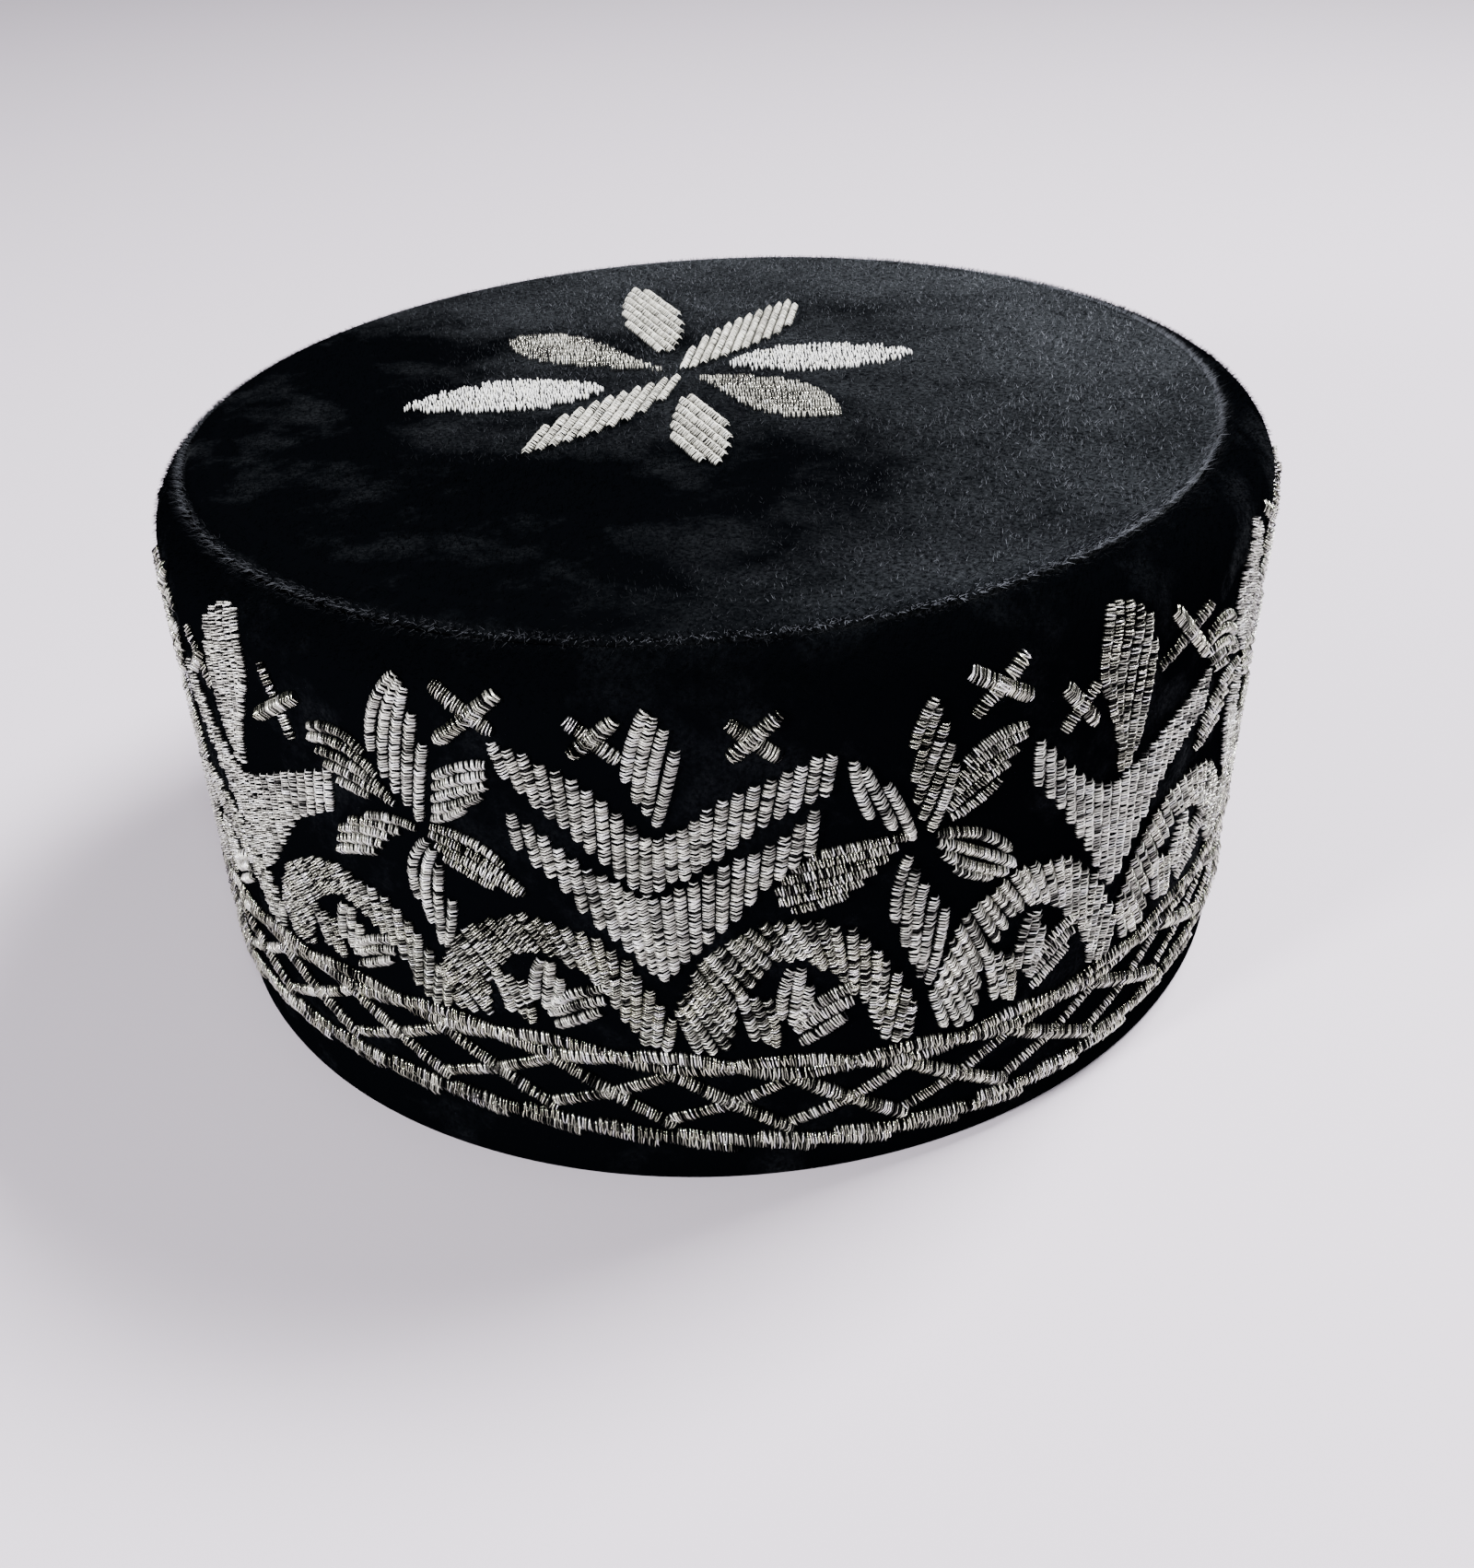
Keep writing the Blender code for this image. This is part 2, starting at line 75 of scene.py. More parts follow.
def oval_point(arc):
    """Point and outward direction on the cap's widest outline, at a way round it."""
    turn = np.interp(np.mod(arc, CIRCUMFERENCE), OVAL_ARC, OVAL_TURN)
    x = CAP_WIDTH / 2 * np.cos(turn)
    y = CAP_LENGTH / 2 * np.sin(turn)
    out_x = CAP_LENGTH / 2 * np.cos(turn)
    out_y = CAP_WIDTH / 2 * np.sin(turn)
    size = np.hypot(out_x, out_y)
    return x, y, out_x / size, out_y / size


def sloped(x, y, z):
    """The crown stands a little higher on one side, and the band grows with it."""
    rise = 1.0 + (CROWN_SLOPE_X * x + CROWN_SLOPE_Y * y) / CAP_HEIGHT
    return np.stack([x, y, z * rise], axis=-1)


def placed(arc, inset, z):
    """Point at a way round the band, so far in from its widest outline and so high."""
    x, y, out_x, out_y = oval_point(arc)
    return sloped(x - out_x * inset, y - out_y * inset, np.broadcast_to(z, x.shape))


def shoulder_point(arc, tilt, depth):
    """Point on the shoulder's curve, 90 degrees being the flat top."""
    radius = SHOULDER_RADIUS - depth
    inset = SHOULDER_INSET + SHOULDER_RADIUS - radius * np.cos(tilt)
    return placed(arc, inset, STRAIGHT_HEIGHT + radius * np.sin(tilt))


def seam_tilt(arc):
    """The crown was sewn on off centre, so its seam climbs the shoulder on one side."""
    x, y, _, _ = oval_point(arc)
    nearness = 0.5 + 0.5 * np.cos(np.arctan2(y, x) - SEAM_HIGH_TURN)
    return SEAM_LOW_TILT + (SEAM_HIGH_TILT - SEAM_LOW_TILT) * nearness**2


def cloth_from_rows(name, rows, closed):
    """A strip of cloth cut as a grid, laid on rows of places and sewn up at its ends."""
    places = np.array(rows)
    places = np.concatenate([places, places[:, :1]], axis=1)
    if closed:
        places = np.concatenate([places, places[:1]], axis=0)
    tall, wide = places.shape[:2]
    bpy.ops.object.select_all(action="DESELECT")
    bpy.ops.mesh.primitive_grid_add(x_subdivisions=wide - 1, y_subdivisions=tall - 1, size=1.0)
    cloth = bpy.context.object
    cloth.name = name
    flat = np.zeros(len(cloth.data.vertices) * 3)
    cloth.data.vertices.foreach_get("co", flat)
    flat = flat.reshape(-1, 3)
    column = np.rint((flat[:, 0] + 0.5) * (wide - 1)).astype(int)
    row = np.rint((flat[:, 1] + 0.5) * (tall - 1)).astype(int)
    cloth.data.vertices.foreach_set("co", places[row, column].ravel())
    bpy.ops.object.mode_set(mode="EDIT")
    bpy.ops.mesh.select_all(action="SELECT")
    bpy.ops.mesh.remove_doubles(threshold=0.02 * MM)
    bpy.ops.mesh.normals_make_consistent(inside=False)
    bpy.ops.object.mode_set(mode="OBJECT")
    bpy.ops.object.shade_smooth_by_angle(angle=math.radians(50.0))
    return cloth


def slack(x, y, z):
    """Small soft unevenness of stretched cloth, from -1 to 1."""
    wave = np.sin(61.0 * x + 37.0 * y + 3.0 * np.sin(45.0 * z)) * 0.5
    wave = wave + np.sin(-83.0 * x + 59.0 * y + 71.0 * z + 1.3) * 0.3
    return wave + np.sin(140.0 * x - 122.0 * y - 90.0 * z + 0.4) * 0.2


def brushed(cloth, nap_and_sheen):
    """Pile lift and painted sheen at each vertex, for the velvet's shader."""
    spot = np.zeros(len(cloth.data.vertices) * 3)
    cloth.data.vertices.foreach_get("co", spot)
    spot = spot.reshape(-1, 3)
    value = np.clip(nap_and_sheen(spot[:, 0], spot[:, 1], spot[:, 2]), 0.0, 1.0)
    attribute = cloth.data.attributes.new("nap_and_sheen", "FLOAT", "POINT")
    attribute.data.foreach_set("value", value.astype(np.float32))


def velvet_material():
    material = bpy.data.materials.new("black_velvet")
    material.use_nodes = True
    nodes = material.node_tree.nodes
    link = material.node_tree.links.new
    shader = nodes["Principled BSDF"]
    shader.inputs["Roughness"].default_value = 0.9
    shader.inputs["Specular IOR Level"].default_value = 0.0
    shader.inputs["Sheen Roughness"].default_value = 0.40
    shader.inputs["Sheen Tint"].default_value = VELVET_SHEEN_TINT
    place = nodes.new("ShaderNodeTexCoord")
    nap_and_sheen = nodes.new("ShaderNodeAttribute")
    nap_and_sheen.attribute_name = "nap_and_sheen"
    patches = nodes.new("ShaderNodeTexNoise")
    patches.inputs["Scale"].default_value = 55.0
    patches.inputs["Detail"].default_value = 5.0
    patches.inputs["Roughness"].default_value = 0.62
    tufts = nodes.new("ShaderNodeTexNoise")
    tufts.inputs["Scale"].default_value = 1500.0
    tufts.inputs["Detail"].default_value = 3.0
    tufts.inputs["Roughness"].default_value = 0.7
    for texture in (patches, tufts):
        link(place.outputs["Object"], texture.inputs["Vector"])
    # Colour and sheen weight follow the vertex attribute: pile specks, and painted sheen on the
    # crown
    lift = nodes.new("ShaderNodeMath")
    lift.operation = "MULTIPLY_ADD"
    lift.inputs[1].default_value = 0.9
    link(patches.outputs["Fac"], lift.inputs[0])
    shift = nodes.new("ShaderNodeMath")
    shift.operation = "SUBTRACT"
    shift.inputs[1].default_value = 0.47
    link(nap_and_sheen.outputs["Fac"], shift.inputs[0])
    link(shift.outputs[0], lift.inputs[2])
    specks = nodes.new("ShaderNodeMapRange")
    specks.inputs["From Min"].default_value = 0.36
    specks.inputs["From Max"].default_value = 0.68
    specks.inputs["To Min"].default_value = 0.1
    specks.inputs["To Max"].default_value = 2.0
    link(tufts.outputs["Fac"], specks.inputs["Value"])
    pile = nodes.new("ShaderNodeMath")
    pile.operation = "MULTIPLY"
    pile.use_clamp = True
    link(lift.outputs[0], pile.inputs[0])
    link(specks.outputs["Result"], pile.inputs[1])
    colour = nodes.new("ShaderNodeMix")
    colour.data_type = "RGBA"
    colour.inputs["A"].default_value = VELVET_DEEP
    colour.inputs["B"].default_value = VELVET_PILE_AND_SHEEN
    link(pile.outputs[0], colour.inputs["Factor"])
    link(colour.outputs["Result"], shader.inputs["Base Color"])
    sheen = nodes.new("ShaderNodeMapRange")
    sheen.inputs["To Min"].default_value = 0.0
    sheen.inputs["To Max"].default_value = 0.20
    link(pile.outputs[0], sheen.inputs["Value"])
    link(sheen.outputs["Result"], shader.inputs["Sheen Weight"])
    bump = nodes.new("ShaderNodeBump")
    bump.inputs["Strength"].default_value = 0.5
    bump.inputs["Distance"].default_value = 0.35 * MM
    link(tufts.outputs["Fac"], bump.inputs["Height"])
    link(bump.outputs["Normal"], shader.inputs["Normal"])
    return material


SIDE_ARCS = CIRCUMFERENCE * np.arange(CLOTH_SIDES) / CLOTH_SIDES
WALL_LIFTS = np.linspace(0.04, 0.98, 24)
ROLL_SHARES = np.array([0.0, 0.12, 0.24, 0.36, 0.48, 0.6, 0.7, 0.79, 0.86, 0.91, 0.95, 0.98, 1.0])
SEAM_DIP = np.array([0.0, 0.0, 0.0, 0.0, 0.0, 0.0, 0.0, 0.0, 0.02, 0.12, 0.32, 0.65, 1.0])

seam = seam_tilt(SIDE_ARCS)
rows = [
    placed(SIDE_ARCS, HEM_INSET + HEM_ROUND, 0.0),
    placed(SIDE_ARCS, HEM_INSET + HEM_ROUND * 0.3, HEM_ROUND * 0.3),
    placed(SIDE_ARCS, HEM_INSET, HEM_ROUND),
]
for share in WALL_LIFTS:
    height = STRAIGHT_HEIGHT * share
    rows.append(placed(SIDE_ARCS, HEM_INSET * (1.0 - height / CAP_HEIGHT), height))
for share, dip in zip(ROLL_SHARES, SEAM_DIP):
    rows.append(shoulder_point(SIDE_ARCS, share * (seam - SEAM_HALF_GAP), dip * SEAM_DEPTH))
for share in (1.0, 0.75, 0.5, 0.25, 0.0):
    rows.append(shoulder_point(SIDE_ARCS, share * (seam - SEAM_HALF_GAP), CLOTH))
for share in (0.66, 0.33):
    rows.append(placed(SIDE_ARCS, HEM_INSET + CLOTH, STRAIGHT_HEIGHT * share))
rows.append(placed(SIDE_ARCS, HEM_INSET + CLOTH, HEM_ROUND))
rows.append(placed(SIDE_ARCS, HEM_INSET + CLOTH - HEM_ROUND * 0.6, 0.0))
VELVET = velvet_material()
band = cloth_from_rows("velvet_band", rows, True)
band.data.materials.append(VELVET)


def band_nap(x, y, z):
    """The band's pile lies down flat everywhere."""
    return np.zeros_like(x)


brushed(band, band_nap)
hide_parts("side_band")
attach(band, "root")

# Band pile: single fibres that stand out of the band's velvet, as slim closed spikes with
# their roots in the cloth. They are dark, but for a few grey ones beside the seam.
SHOULDER_FIBRES = 16000
WALL_FIBRES = 5000
FIBRE_LENGTH = 0.75 * MM
FIBRE_THICKNESS = 0.055 * MM
FIBRE_ROOT = 0.15 * MM
FIBRE_BEND = 0.35 * MM
WALL_BEND = 0.3 * MM
WALL_DROOP = 0.2 * MM
SEAM_CLEAR_TILT = 0.04
SHOULDER_DROOP_TILT = 0.03
GREY_FROM_CLIMB = 0.88
GREYEST = 0.08
FIBRE_DEEP = (0.0008, 0.001, 0.0014, 1.0)
# Fibre colour of the grey fibres and of the crown's painted sheen
FIBRE_GREY_AND_SHEEN = (0.34, 0.36, 0.42, 1.0)


def pile_fibres(name, roots, heads, nap_and_sheen, seed):
    """Single fibres that stand out of the pile, as slim closed spikes."""
    chance = np.random.default_rng(seed)
    way = heads - roots
    way = way / np.linalg.norm(way, axis=1)[:, None]
    side = np.cross(way, chance.normal(size=way.shape))
    side = side / np.linalg.norm(side, axis=1)[:, None]
    other = np.cross(way, side)
    spike = []
    for turn in (0.0, 2.0 * math.pi / 3.0, 4.0 * math.pi / 3.0):
        spike.append(roots + FIBRE_THICKNESS * (math.cos(turn) * side + math.sin(turn) * other))
    spike.append(heads)
    places = np.stack(spike, axis=1).reshape(-1, 3)
    first = np.arange(len(roots))[:, None, None] * 4
    faces = first + np.array([(0, 1, 3), (1, 2, 3), (2, 0, 3), (0, 2, 1)])
    mesh = bpy.data.meshes.new(name)
    mesh.from_pydata(places.tolist(), [], faces.reshape(-1, 3).tolist())
    mesh.materials.append(FIBRE)
    attribute = mesh.attributes.new("nap_and_sheen", "FLOAT", "POINT")
    attribute.data.foreach_set("value", np.repeat(np.clip(nap_and_sheen, 0.0, 1.0), 4).astype(np.float32))
    piece = bpy.data.objects.new(name, mesh)
    bpy.context.scene.collection.objects.link(piece)
    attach(piece, "root")
    return piece


def fibre_material():
    material = bpy.data.materials.new("velvet_fibre")
    material.use_nodes = True
    nodes = material.node_tree.nodes
    link = material.node_tree.links.new
    shader = nodes["Principled BSDF"]
    shader.inputs["Roughness"].default_value = 0.6
    nap_and_sheen = nodes.new("ShaderNodeAttribute")
    nap_and_sheen.attribute_name = "nap_and_sheen"
    gloss = nodes.new("ShaderNodeMath")
    gloss.operation = "MULTIPLY"
    gloss.inputs[1].default_value = 0.5
    link(nap_and_sheen.outputs["Fac"], gloss.inputs[0])
    link(gloss.outputs[0], shader.inputs["Specular IOR Level"])
    # Grey at random, and greyer with the crown's painted sheen
    colour = nodes.new("ShaderNodeMix")
    colour.data_type = "RGBA"
    colour.inputs["A"].default_value = FIBRE_DEEP
    colour.inputs["B"].default_value = FIBRE_GREY_AND_SHEEN
    link(nap_and_sheen.outputs["Fac"], colour.inputs["Factor"])
    link(colour.outputs["Result"], shader.inputs["Base Color"])
    return material


FIBRE = fibre_material()
chance = np.random.default_rng(3)
arc = chance.uniform(0.0, CIRCUMFERENCE, SHOULDER_FIBRES)
climb = chance.uniform(0.0, 1.0, SHOULDER_FIBRES) ** 0.5
tilt = climb * (seam_tilt(arc) - SEAM_CLEAR_TILT)
length = FIBRE_LENGTH * chance.uniform(0.5, 1.2, SHOULDER_FIBRES)
roots = shoulder_point(arc, tilt, FIBRE_ROOT)
bend = chance.normal(0.0, FIBRE_BEND, (2, SHOULDER_FIBRES))
head_tilt = tilt + bend[1] / SHOULDER_RADIUS - SHOULDER_DROOP_TILT
heads = shoulder_point(arc + bend[0], head_tilt, -length)
near_seam = np.clip((climb - GREY_FROM_CLIMB) / (1.0 - GREY_FROM_CLIMB), 0.0, 1.0)
nap_and_sheen = GREYEST * near_seam * chance.uniform(0.0, 1.0, SHOULDER_FIBRES)
arc = chance.uniform(0.0, CIRCUMFERENCE, WALL_FIBRES)
height = STRAIGHT_HEIGHT * chance.uniform(0.02, 1.0, WALL_FIBRES)
length = FIBRE_LENGTH * chance.uniform(0.4, 1.0, WALL_FIBRES)
inset = HEM_INSET * (1.0 - height / CAP_HEIGHT)
bend = chance.normal(0.0, WALL_BEND, (2, WALL_FIBRES))
roots = np.concatenate([roots, placed(arc, inset + FIBRE_ROOT, height)])
wall_heads = placed(arc + bend[0], inset - length, height + bend[1] - WALL_DROOP)
heads = np.concatenate([heads, wall_heads])
pile_fibres("band_pile", roots, heads, np.concatenate([nap_and_sheen, np.zeros(WALL_FIBRES)]), 4)

# Crown panel: a flat oval of the same velvet, a little slack, sewn to the band with its
# edge turned down into the seam.
CROWN_RINGS = np.array([0.0, 0.06, 0.14, 0.24, 0.34, 0.44, 0.54, 0.64, 0.74, 0.83, 0.91, 1.0])
EDGE_SHARES = np.array([0.2, 0.4, 0.6, 0.75, 0.86, 0.93, 0.97, 1.0])
EDGE_DIP = np.array([-0.02, -0.08, -0.16, -0.16, 0.0, 0.3, 0.65, 1.0])
CROWN_DOME = 1.2 * MM
CROWN_SLACK = 0.25 * MM
SEAM_FUZZ = 1.7 * MM
# The photo's own right and away directions, on the plan
PHOTO_RIGHT = (0.740, 0.672)
PHOTO_AWAY = (-0.672, 0.740)
# Painted sheen: the crown's velvet is lighter to the right, the far side and the near rim, where
# light falls
NAP_AND_SHEEN_MIDDLE = 0.20
SHEEN_TO_RIGHT = 4.2
SHEEN_TO_AWAY = 2.8
NAP_UNEVEN = 0.15
HIGHLIGHT_NEAR_RIM = 0.26
NEAR_RIM_STARTS = 56.0 * MM
NEAR_RIM_FADE = 20.0 * MM
NEAR_RIM_LEFT_END = -45.0 * MM
LEFT_END_FADE = 50.0 * MM
# Painted light at the seam: a highlight on its near and left side, painted shade on its far and
# right side
SEAM_PAINTED_LIGHT = 0.24
SEAM_PAINTED_LIGHT_MIDDLE = 0.4
SEAM_PAINTED_LIGHT_TO_NEAR = 14.0
SEAM_PAINTED_LIGHT_TO_LEFT = 4.0
SEAM_PAINTED_LIGHT_LEAST = -1.5


def crown_place(x, y, lift):
    """Place on the crown panel above a point of the plan."""
    half_width = CAP_WIDTH / 2 - FLAT_INSET
    half_length = CAP_LENGTH / 2 - FLAT_INSET
    share = np.minimum(np.hypot(x / half_width, y / half_length), 1.0)
    rise = CROWN_DOME * (1.0 - share * share)
    return sloped(x, y, CAP_HEIGHT + rise + lift)


edge = placed(SIDE_ARCS, FLAT_INSET, 0.0)
rows = []
for share in CROWN_RINGS:
    x = edge[:, 0] * share
    y = edge[:, 1] * share
    rows.append(crown_place(x, y, CROWN_SLACK * slack(x, y, 0.0) * (1.0 - share**4)))
for share, dip in zip(EDGE_SHARES, EDGE_DIP):
    tilt = math.pi / 2 + (seam + SEAM_HALF_GAP - math.pi / 2) * share
    rows.append(shoulder_point(SIDE_ARCS, tilt, dip * SEAM_DEPTH))
rows.append(shoulder_point(SIDE_ARCS, seam + SEAM_HALF_GAP, CLOTH))
rows.append(shoulder_point(SIDE_ARCS, math.pi / 2, CLOTH))
for share in (0.6, 0.2, 0.0):
    rows.append(crown_place(edge[:, 0] * share, edge[:, 1] * share, -CLOTH))
crown = cloth_from_rows("velvet_crown", rows, False)
crown.data.materials.append(VELVET)


def above_seam(x, y):
    """How far a point of the crown lies from the seam, along the cloth."""
    radius = np.hypot(x, y) + 1e-9
    share = np.hypot(x / (CAP_WIDTH / 2 - FLAT_INSET), y / (CAP_LENGTH / 2 - FLAT_INSET))
    beyond = radius - radius / np.maximum(share, 1e-6)
    tilt = np.arccos(np.clip(beyond / SHOULDER_RADIUS, 0.0, 1.0))
    nearness = 0.5 + 0.5 * np.cos(np.arctan2(y, x) - SEAM_HIGH_TURN)
    sewn = SEAM_LOW_TILT + (SEAM_HIGH_TILT - SEAM_LOW_TILT) * nearness**2
    return SHOULDER_RADIUS * (tilt - sewn) + np.maximum(-beyond, 0.0)


def crown_nap_and_sheen(x, y, z):
    """Painted sheen on the crown's velvet: lighter to the right, to the far side and at the near
    rim.
    """
    right = x * PHOTO_RIGHT[0] + y * PHOTO_RIGHT[1]
    away = x * PHOTO_AWAY[0] + y * PHOTO_AWAY[1]
    value = NAP_AND_SHEEN_MIDDLE + SHEEN_TO_RIGHT * right + SHEEN_TO_AWAY * away + NAP_UNEVEN * slack(x, y, z)
    # Painted highlight along the near rim
    rim_highlight = np.clip((-away - NEAR_RIM_STARTS) / NEAR_RIM_FADE, 0.0, 1.0)
    rim_highlight = rim_highlight * np.clip((right - NEAR_RIM_LEFT_END) / LEFT_END_FADE, 0.0, 1.0)
    value = value + HIGHLIGHT_NEAR_RIM * rim_highlight
    # Painted highlight along the seam on the near and left side, painted shade in it on the far and
    # right side
    sewn_edge = np.clip(1.0 - above_seam(x, y) / SEAM_FUZZ, 0.0, 1.0)
    seam_light_and_shade = SEAM_PAINTED_LIGHT_MIDDLE - SEAM_PAINTED_LIGHT_TO_NEAR * away - SEAM_PAINTED_LIGHT_TO_LEFT * right
    seam_light_and_shade = np.clip(seam_light_and_shade, SEAM_PAINTED_LIGHT_LEAST, 1.0)
    return np.maximum(value, 0.0) + SEAM_PAINTED_LIGHT * sewn_edge * seam_light_and_shade


brushed(crown, crown_nap_and_sheen)
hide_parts("crown_top")
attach(crown, "root")

# Crown pile: fibres that stand out of the crown panel's velvet, greyer at random and with the
# crown's painted sheen, and a thin line of them along the panel's sewn edge, with its painted
# light.
CROWN_FIBRES = 38000
EDGE_FIBRES = 8000
EDGE_DROOP_TILT = 0.05
CROWN_FIBRE_GREY = 1.4
chance = np.random.default_rng(5)
turn = chance.uniform(0.0, 2.0 * math.pi, CROWN_FIBRES)
reach = np.sqrt(chance.uniform(0.0, 1.0, CROWN_FIBRES))
x = (CAP_WIDTH / 2 - FLAT_INSET) * reach * np.cos(turn)
y = (CAP_LENGTH / 2 - FLAT_INSET) * reach * np.sin(turn)
length = FIBRE_LENGTH * chance.uniform(0.4, 1.0, CROWN_FIBRES)
bend = chance.normal(0.0, FIBRE_BEND, (2, CROWN_FIBRES))
roots = crown_place(x, y, -FIBRE_ROOT)
heads = crown_place(x + bend[0], y + bend[1], length)
greyness = CROWN_FIBRE_GREY * chance.uniform(0.0, 1.0, CROWN_FIBRES) ** 3
nap_and_sheen = crown_nap_and_sheen(x, y, CAP_HEIGHT) * greyness
arc = chance.uniform(0.0, CIRCUMFERENCE, EDGE_FIBRES)
seam_there = seam_tilt(arc)
tilt = seam_there + (math.pi / 2 - seam_there) * chance.uniform(0.02, 0.9, EDGE_FIBRES) ** 2.0
length = FIBRE_LENGTH * chance.uniform(0.6, 1.3, EDGE_FIBRES)
bend = chance.normal(0.0, FIBRE_BEND, (2, EDGE_FIBRES))
roots = np.concatenate([roots, shoulder_point(arc, tilt, FIBRE_ROOT)])
head_tilt = tilt + bend[1] / SHOULDER_RADIUS - EDGE_DROOP_TILT
edge_heads = shoulder_point(arc + bend[0], head_tilt, -length)
heads = np.concatenate([heads, edge_heads])
edge_spot = shoulder_point(arc, tilt, 0.0)
edge_nap_and_sheen = crown_nap_and_sheen(edge_spot[:, 0], edge_spot[:, 1], edge_spot[:, 2])
nap_and_sheen = np.concatenate([nap_and_sheen, edge_nap_and_sheen * chance.uniform(0.1, 1.0, EDGE_FIBRES)])
pile_fibres("crown_pile", roots, heads, nap_and_sheen, 6)

# Border threads: metal-wrapped thread sewn to and fro over a cord, in tight stitches. A
# lower and an upper line run round the band and close the lattice between them.
REPEATS = 4
CHART_COLUMNS = 144
CHART_ROWS = 90
MOTIF_TURN = math.radians(-53.2)
BORDER_DRIFT = 3.1
DRIFT_WAVES = 3
DRIFT_PEAK_COLUMN = -48.0
DRIFT_FULL_ROW = 26.0
DRIFT_END_ROW = 48.0
COLUMNS_ROUND = REPEATS * CHART_COLUMNS
SQUARE_WIDE = CIRCUMFERENCE / COLUMNS_ROUND
SQUARE_HIGH = CAP_HEIGHT / CHART_ROWS
STITCH_PITCH = 0.43
STITCH_HALF = 0.135
STITCH_SLANT = math.radians(7.0)
STITCH_ZIGZAG = math.radians(4.0)
STITCH_LOOSE = math.radians(5.0)
STITCH_LEAN = 0.12
STITCH_TWIST = 0.6
TWIST_LOOSE = 0.25
RIB_END = 0.9
RIB_OVERHANG = 0.1
END_FULLNESS = 0.45
END_CREST = 0.6
RING_PLACES = (-0.84, 0.0, 0.84)
RING_LIFTS = (0.55, 1.0, 0.55)
RING_DEPTH = 1.1
TIP_LIFT = 0.05
GLINT_RUN = 13.0
GLINT_SWING = 0.28
GLINT_LEAST = 0.3
RIB_TONE_SPREAD = 0.08
MATTE_TONE_SPREAD = 0.22
BRIGHT_TONE_SPREAD = 0.1
TONE_SKEW = 0.7
SILVER_MATTE = (0.74, 0.725, 0.68, 1.0)
SILVER_BRIGHT = (0.70, 0.71, 0.56, 1.0)

motif_angle = math.atan2(math.sin(MOTIF_TURN) / CAP_LENGTH, math.cos(MOTIF_TURN) / CAP_WIDTH)
MOTIF_ARC = float(np.interp(motif_angle % (2.0 * math.pi), OVAL_TURN, OVAL_ARC))


def chart_to_band(column, row, lift):
    """Place on the band of a point of the chart, lifted off its face by so much."""
    fade = np.clip((DRIFT_END_ROW - row) / (DRIFT_END_ROW - DRIFT_FULL_ROW), 0.0, 1.0)
    phase = 2.0 * math.pi * DRIFT_WAVES * (column - DRIFT_PEAK_COLUMN) / COLUMNS_ROUND
    climb = (row + fade * BORDER_DRIFT * np.cos(phase)) * SQUARE_HIGH
    tilt = np.clip((climb - STRAIGHT_HEIGHT) / SHOULDER_RADIUS, 0.0, math.pi / 2)
    straight = climb <= STRAIGHT_HEIGHT
    rolled = SHOULDER_INSET + SHOULDER_RADIUS * (1.0 - np.cos(tilt))
    inset = np.where(straight, HEM_INSET * (1.0 - climb / CAP_HEIGHT), rolled)
    height = np.where(straight, climb, STRAIGHT_HEIGHT + SHOULDER_RADIUS * np.sin(tilt))
    x, y, out_x, out_y = oval_point(MOTIF_ARC + column * SQUARE_WIDE)
    out = lift * np.cos(tilt) - inset
    return sloped(x + out_x * out, y + out_y * out, height + lift * np.sin(tilt))


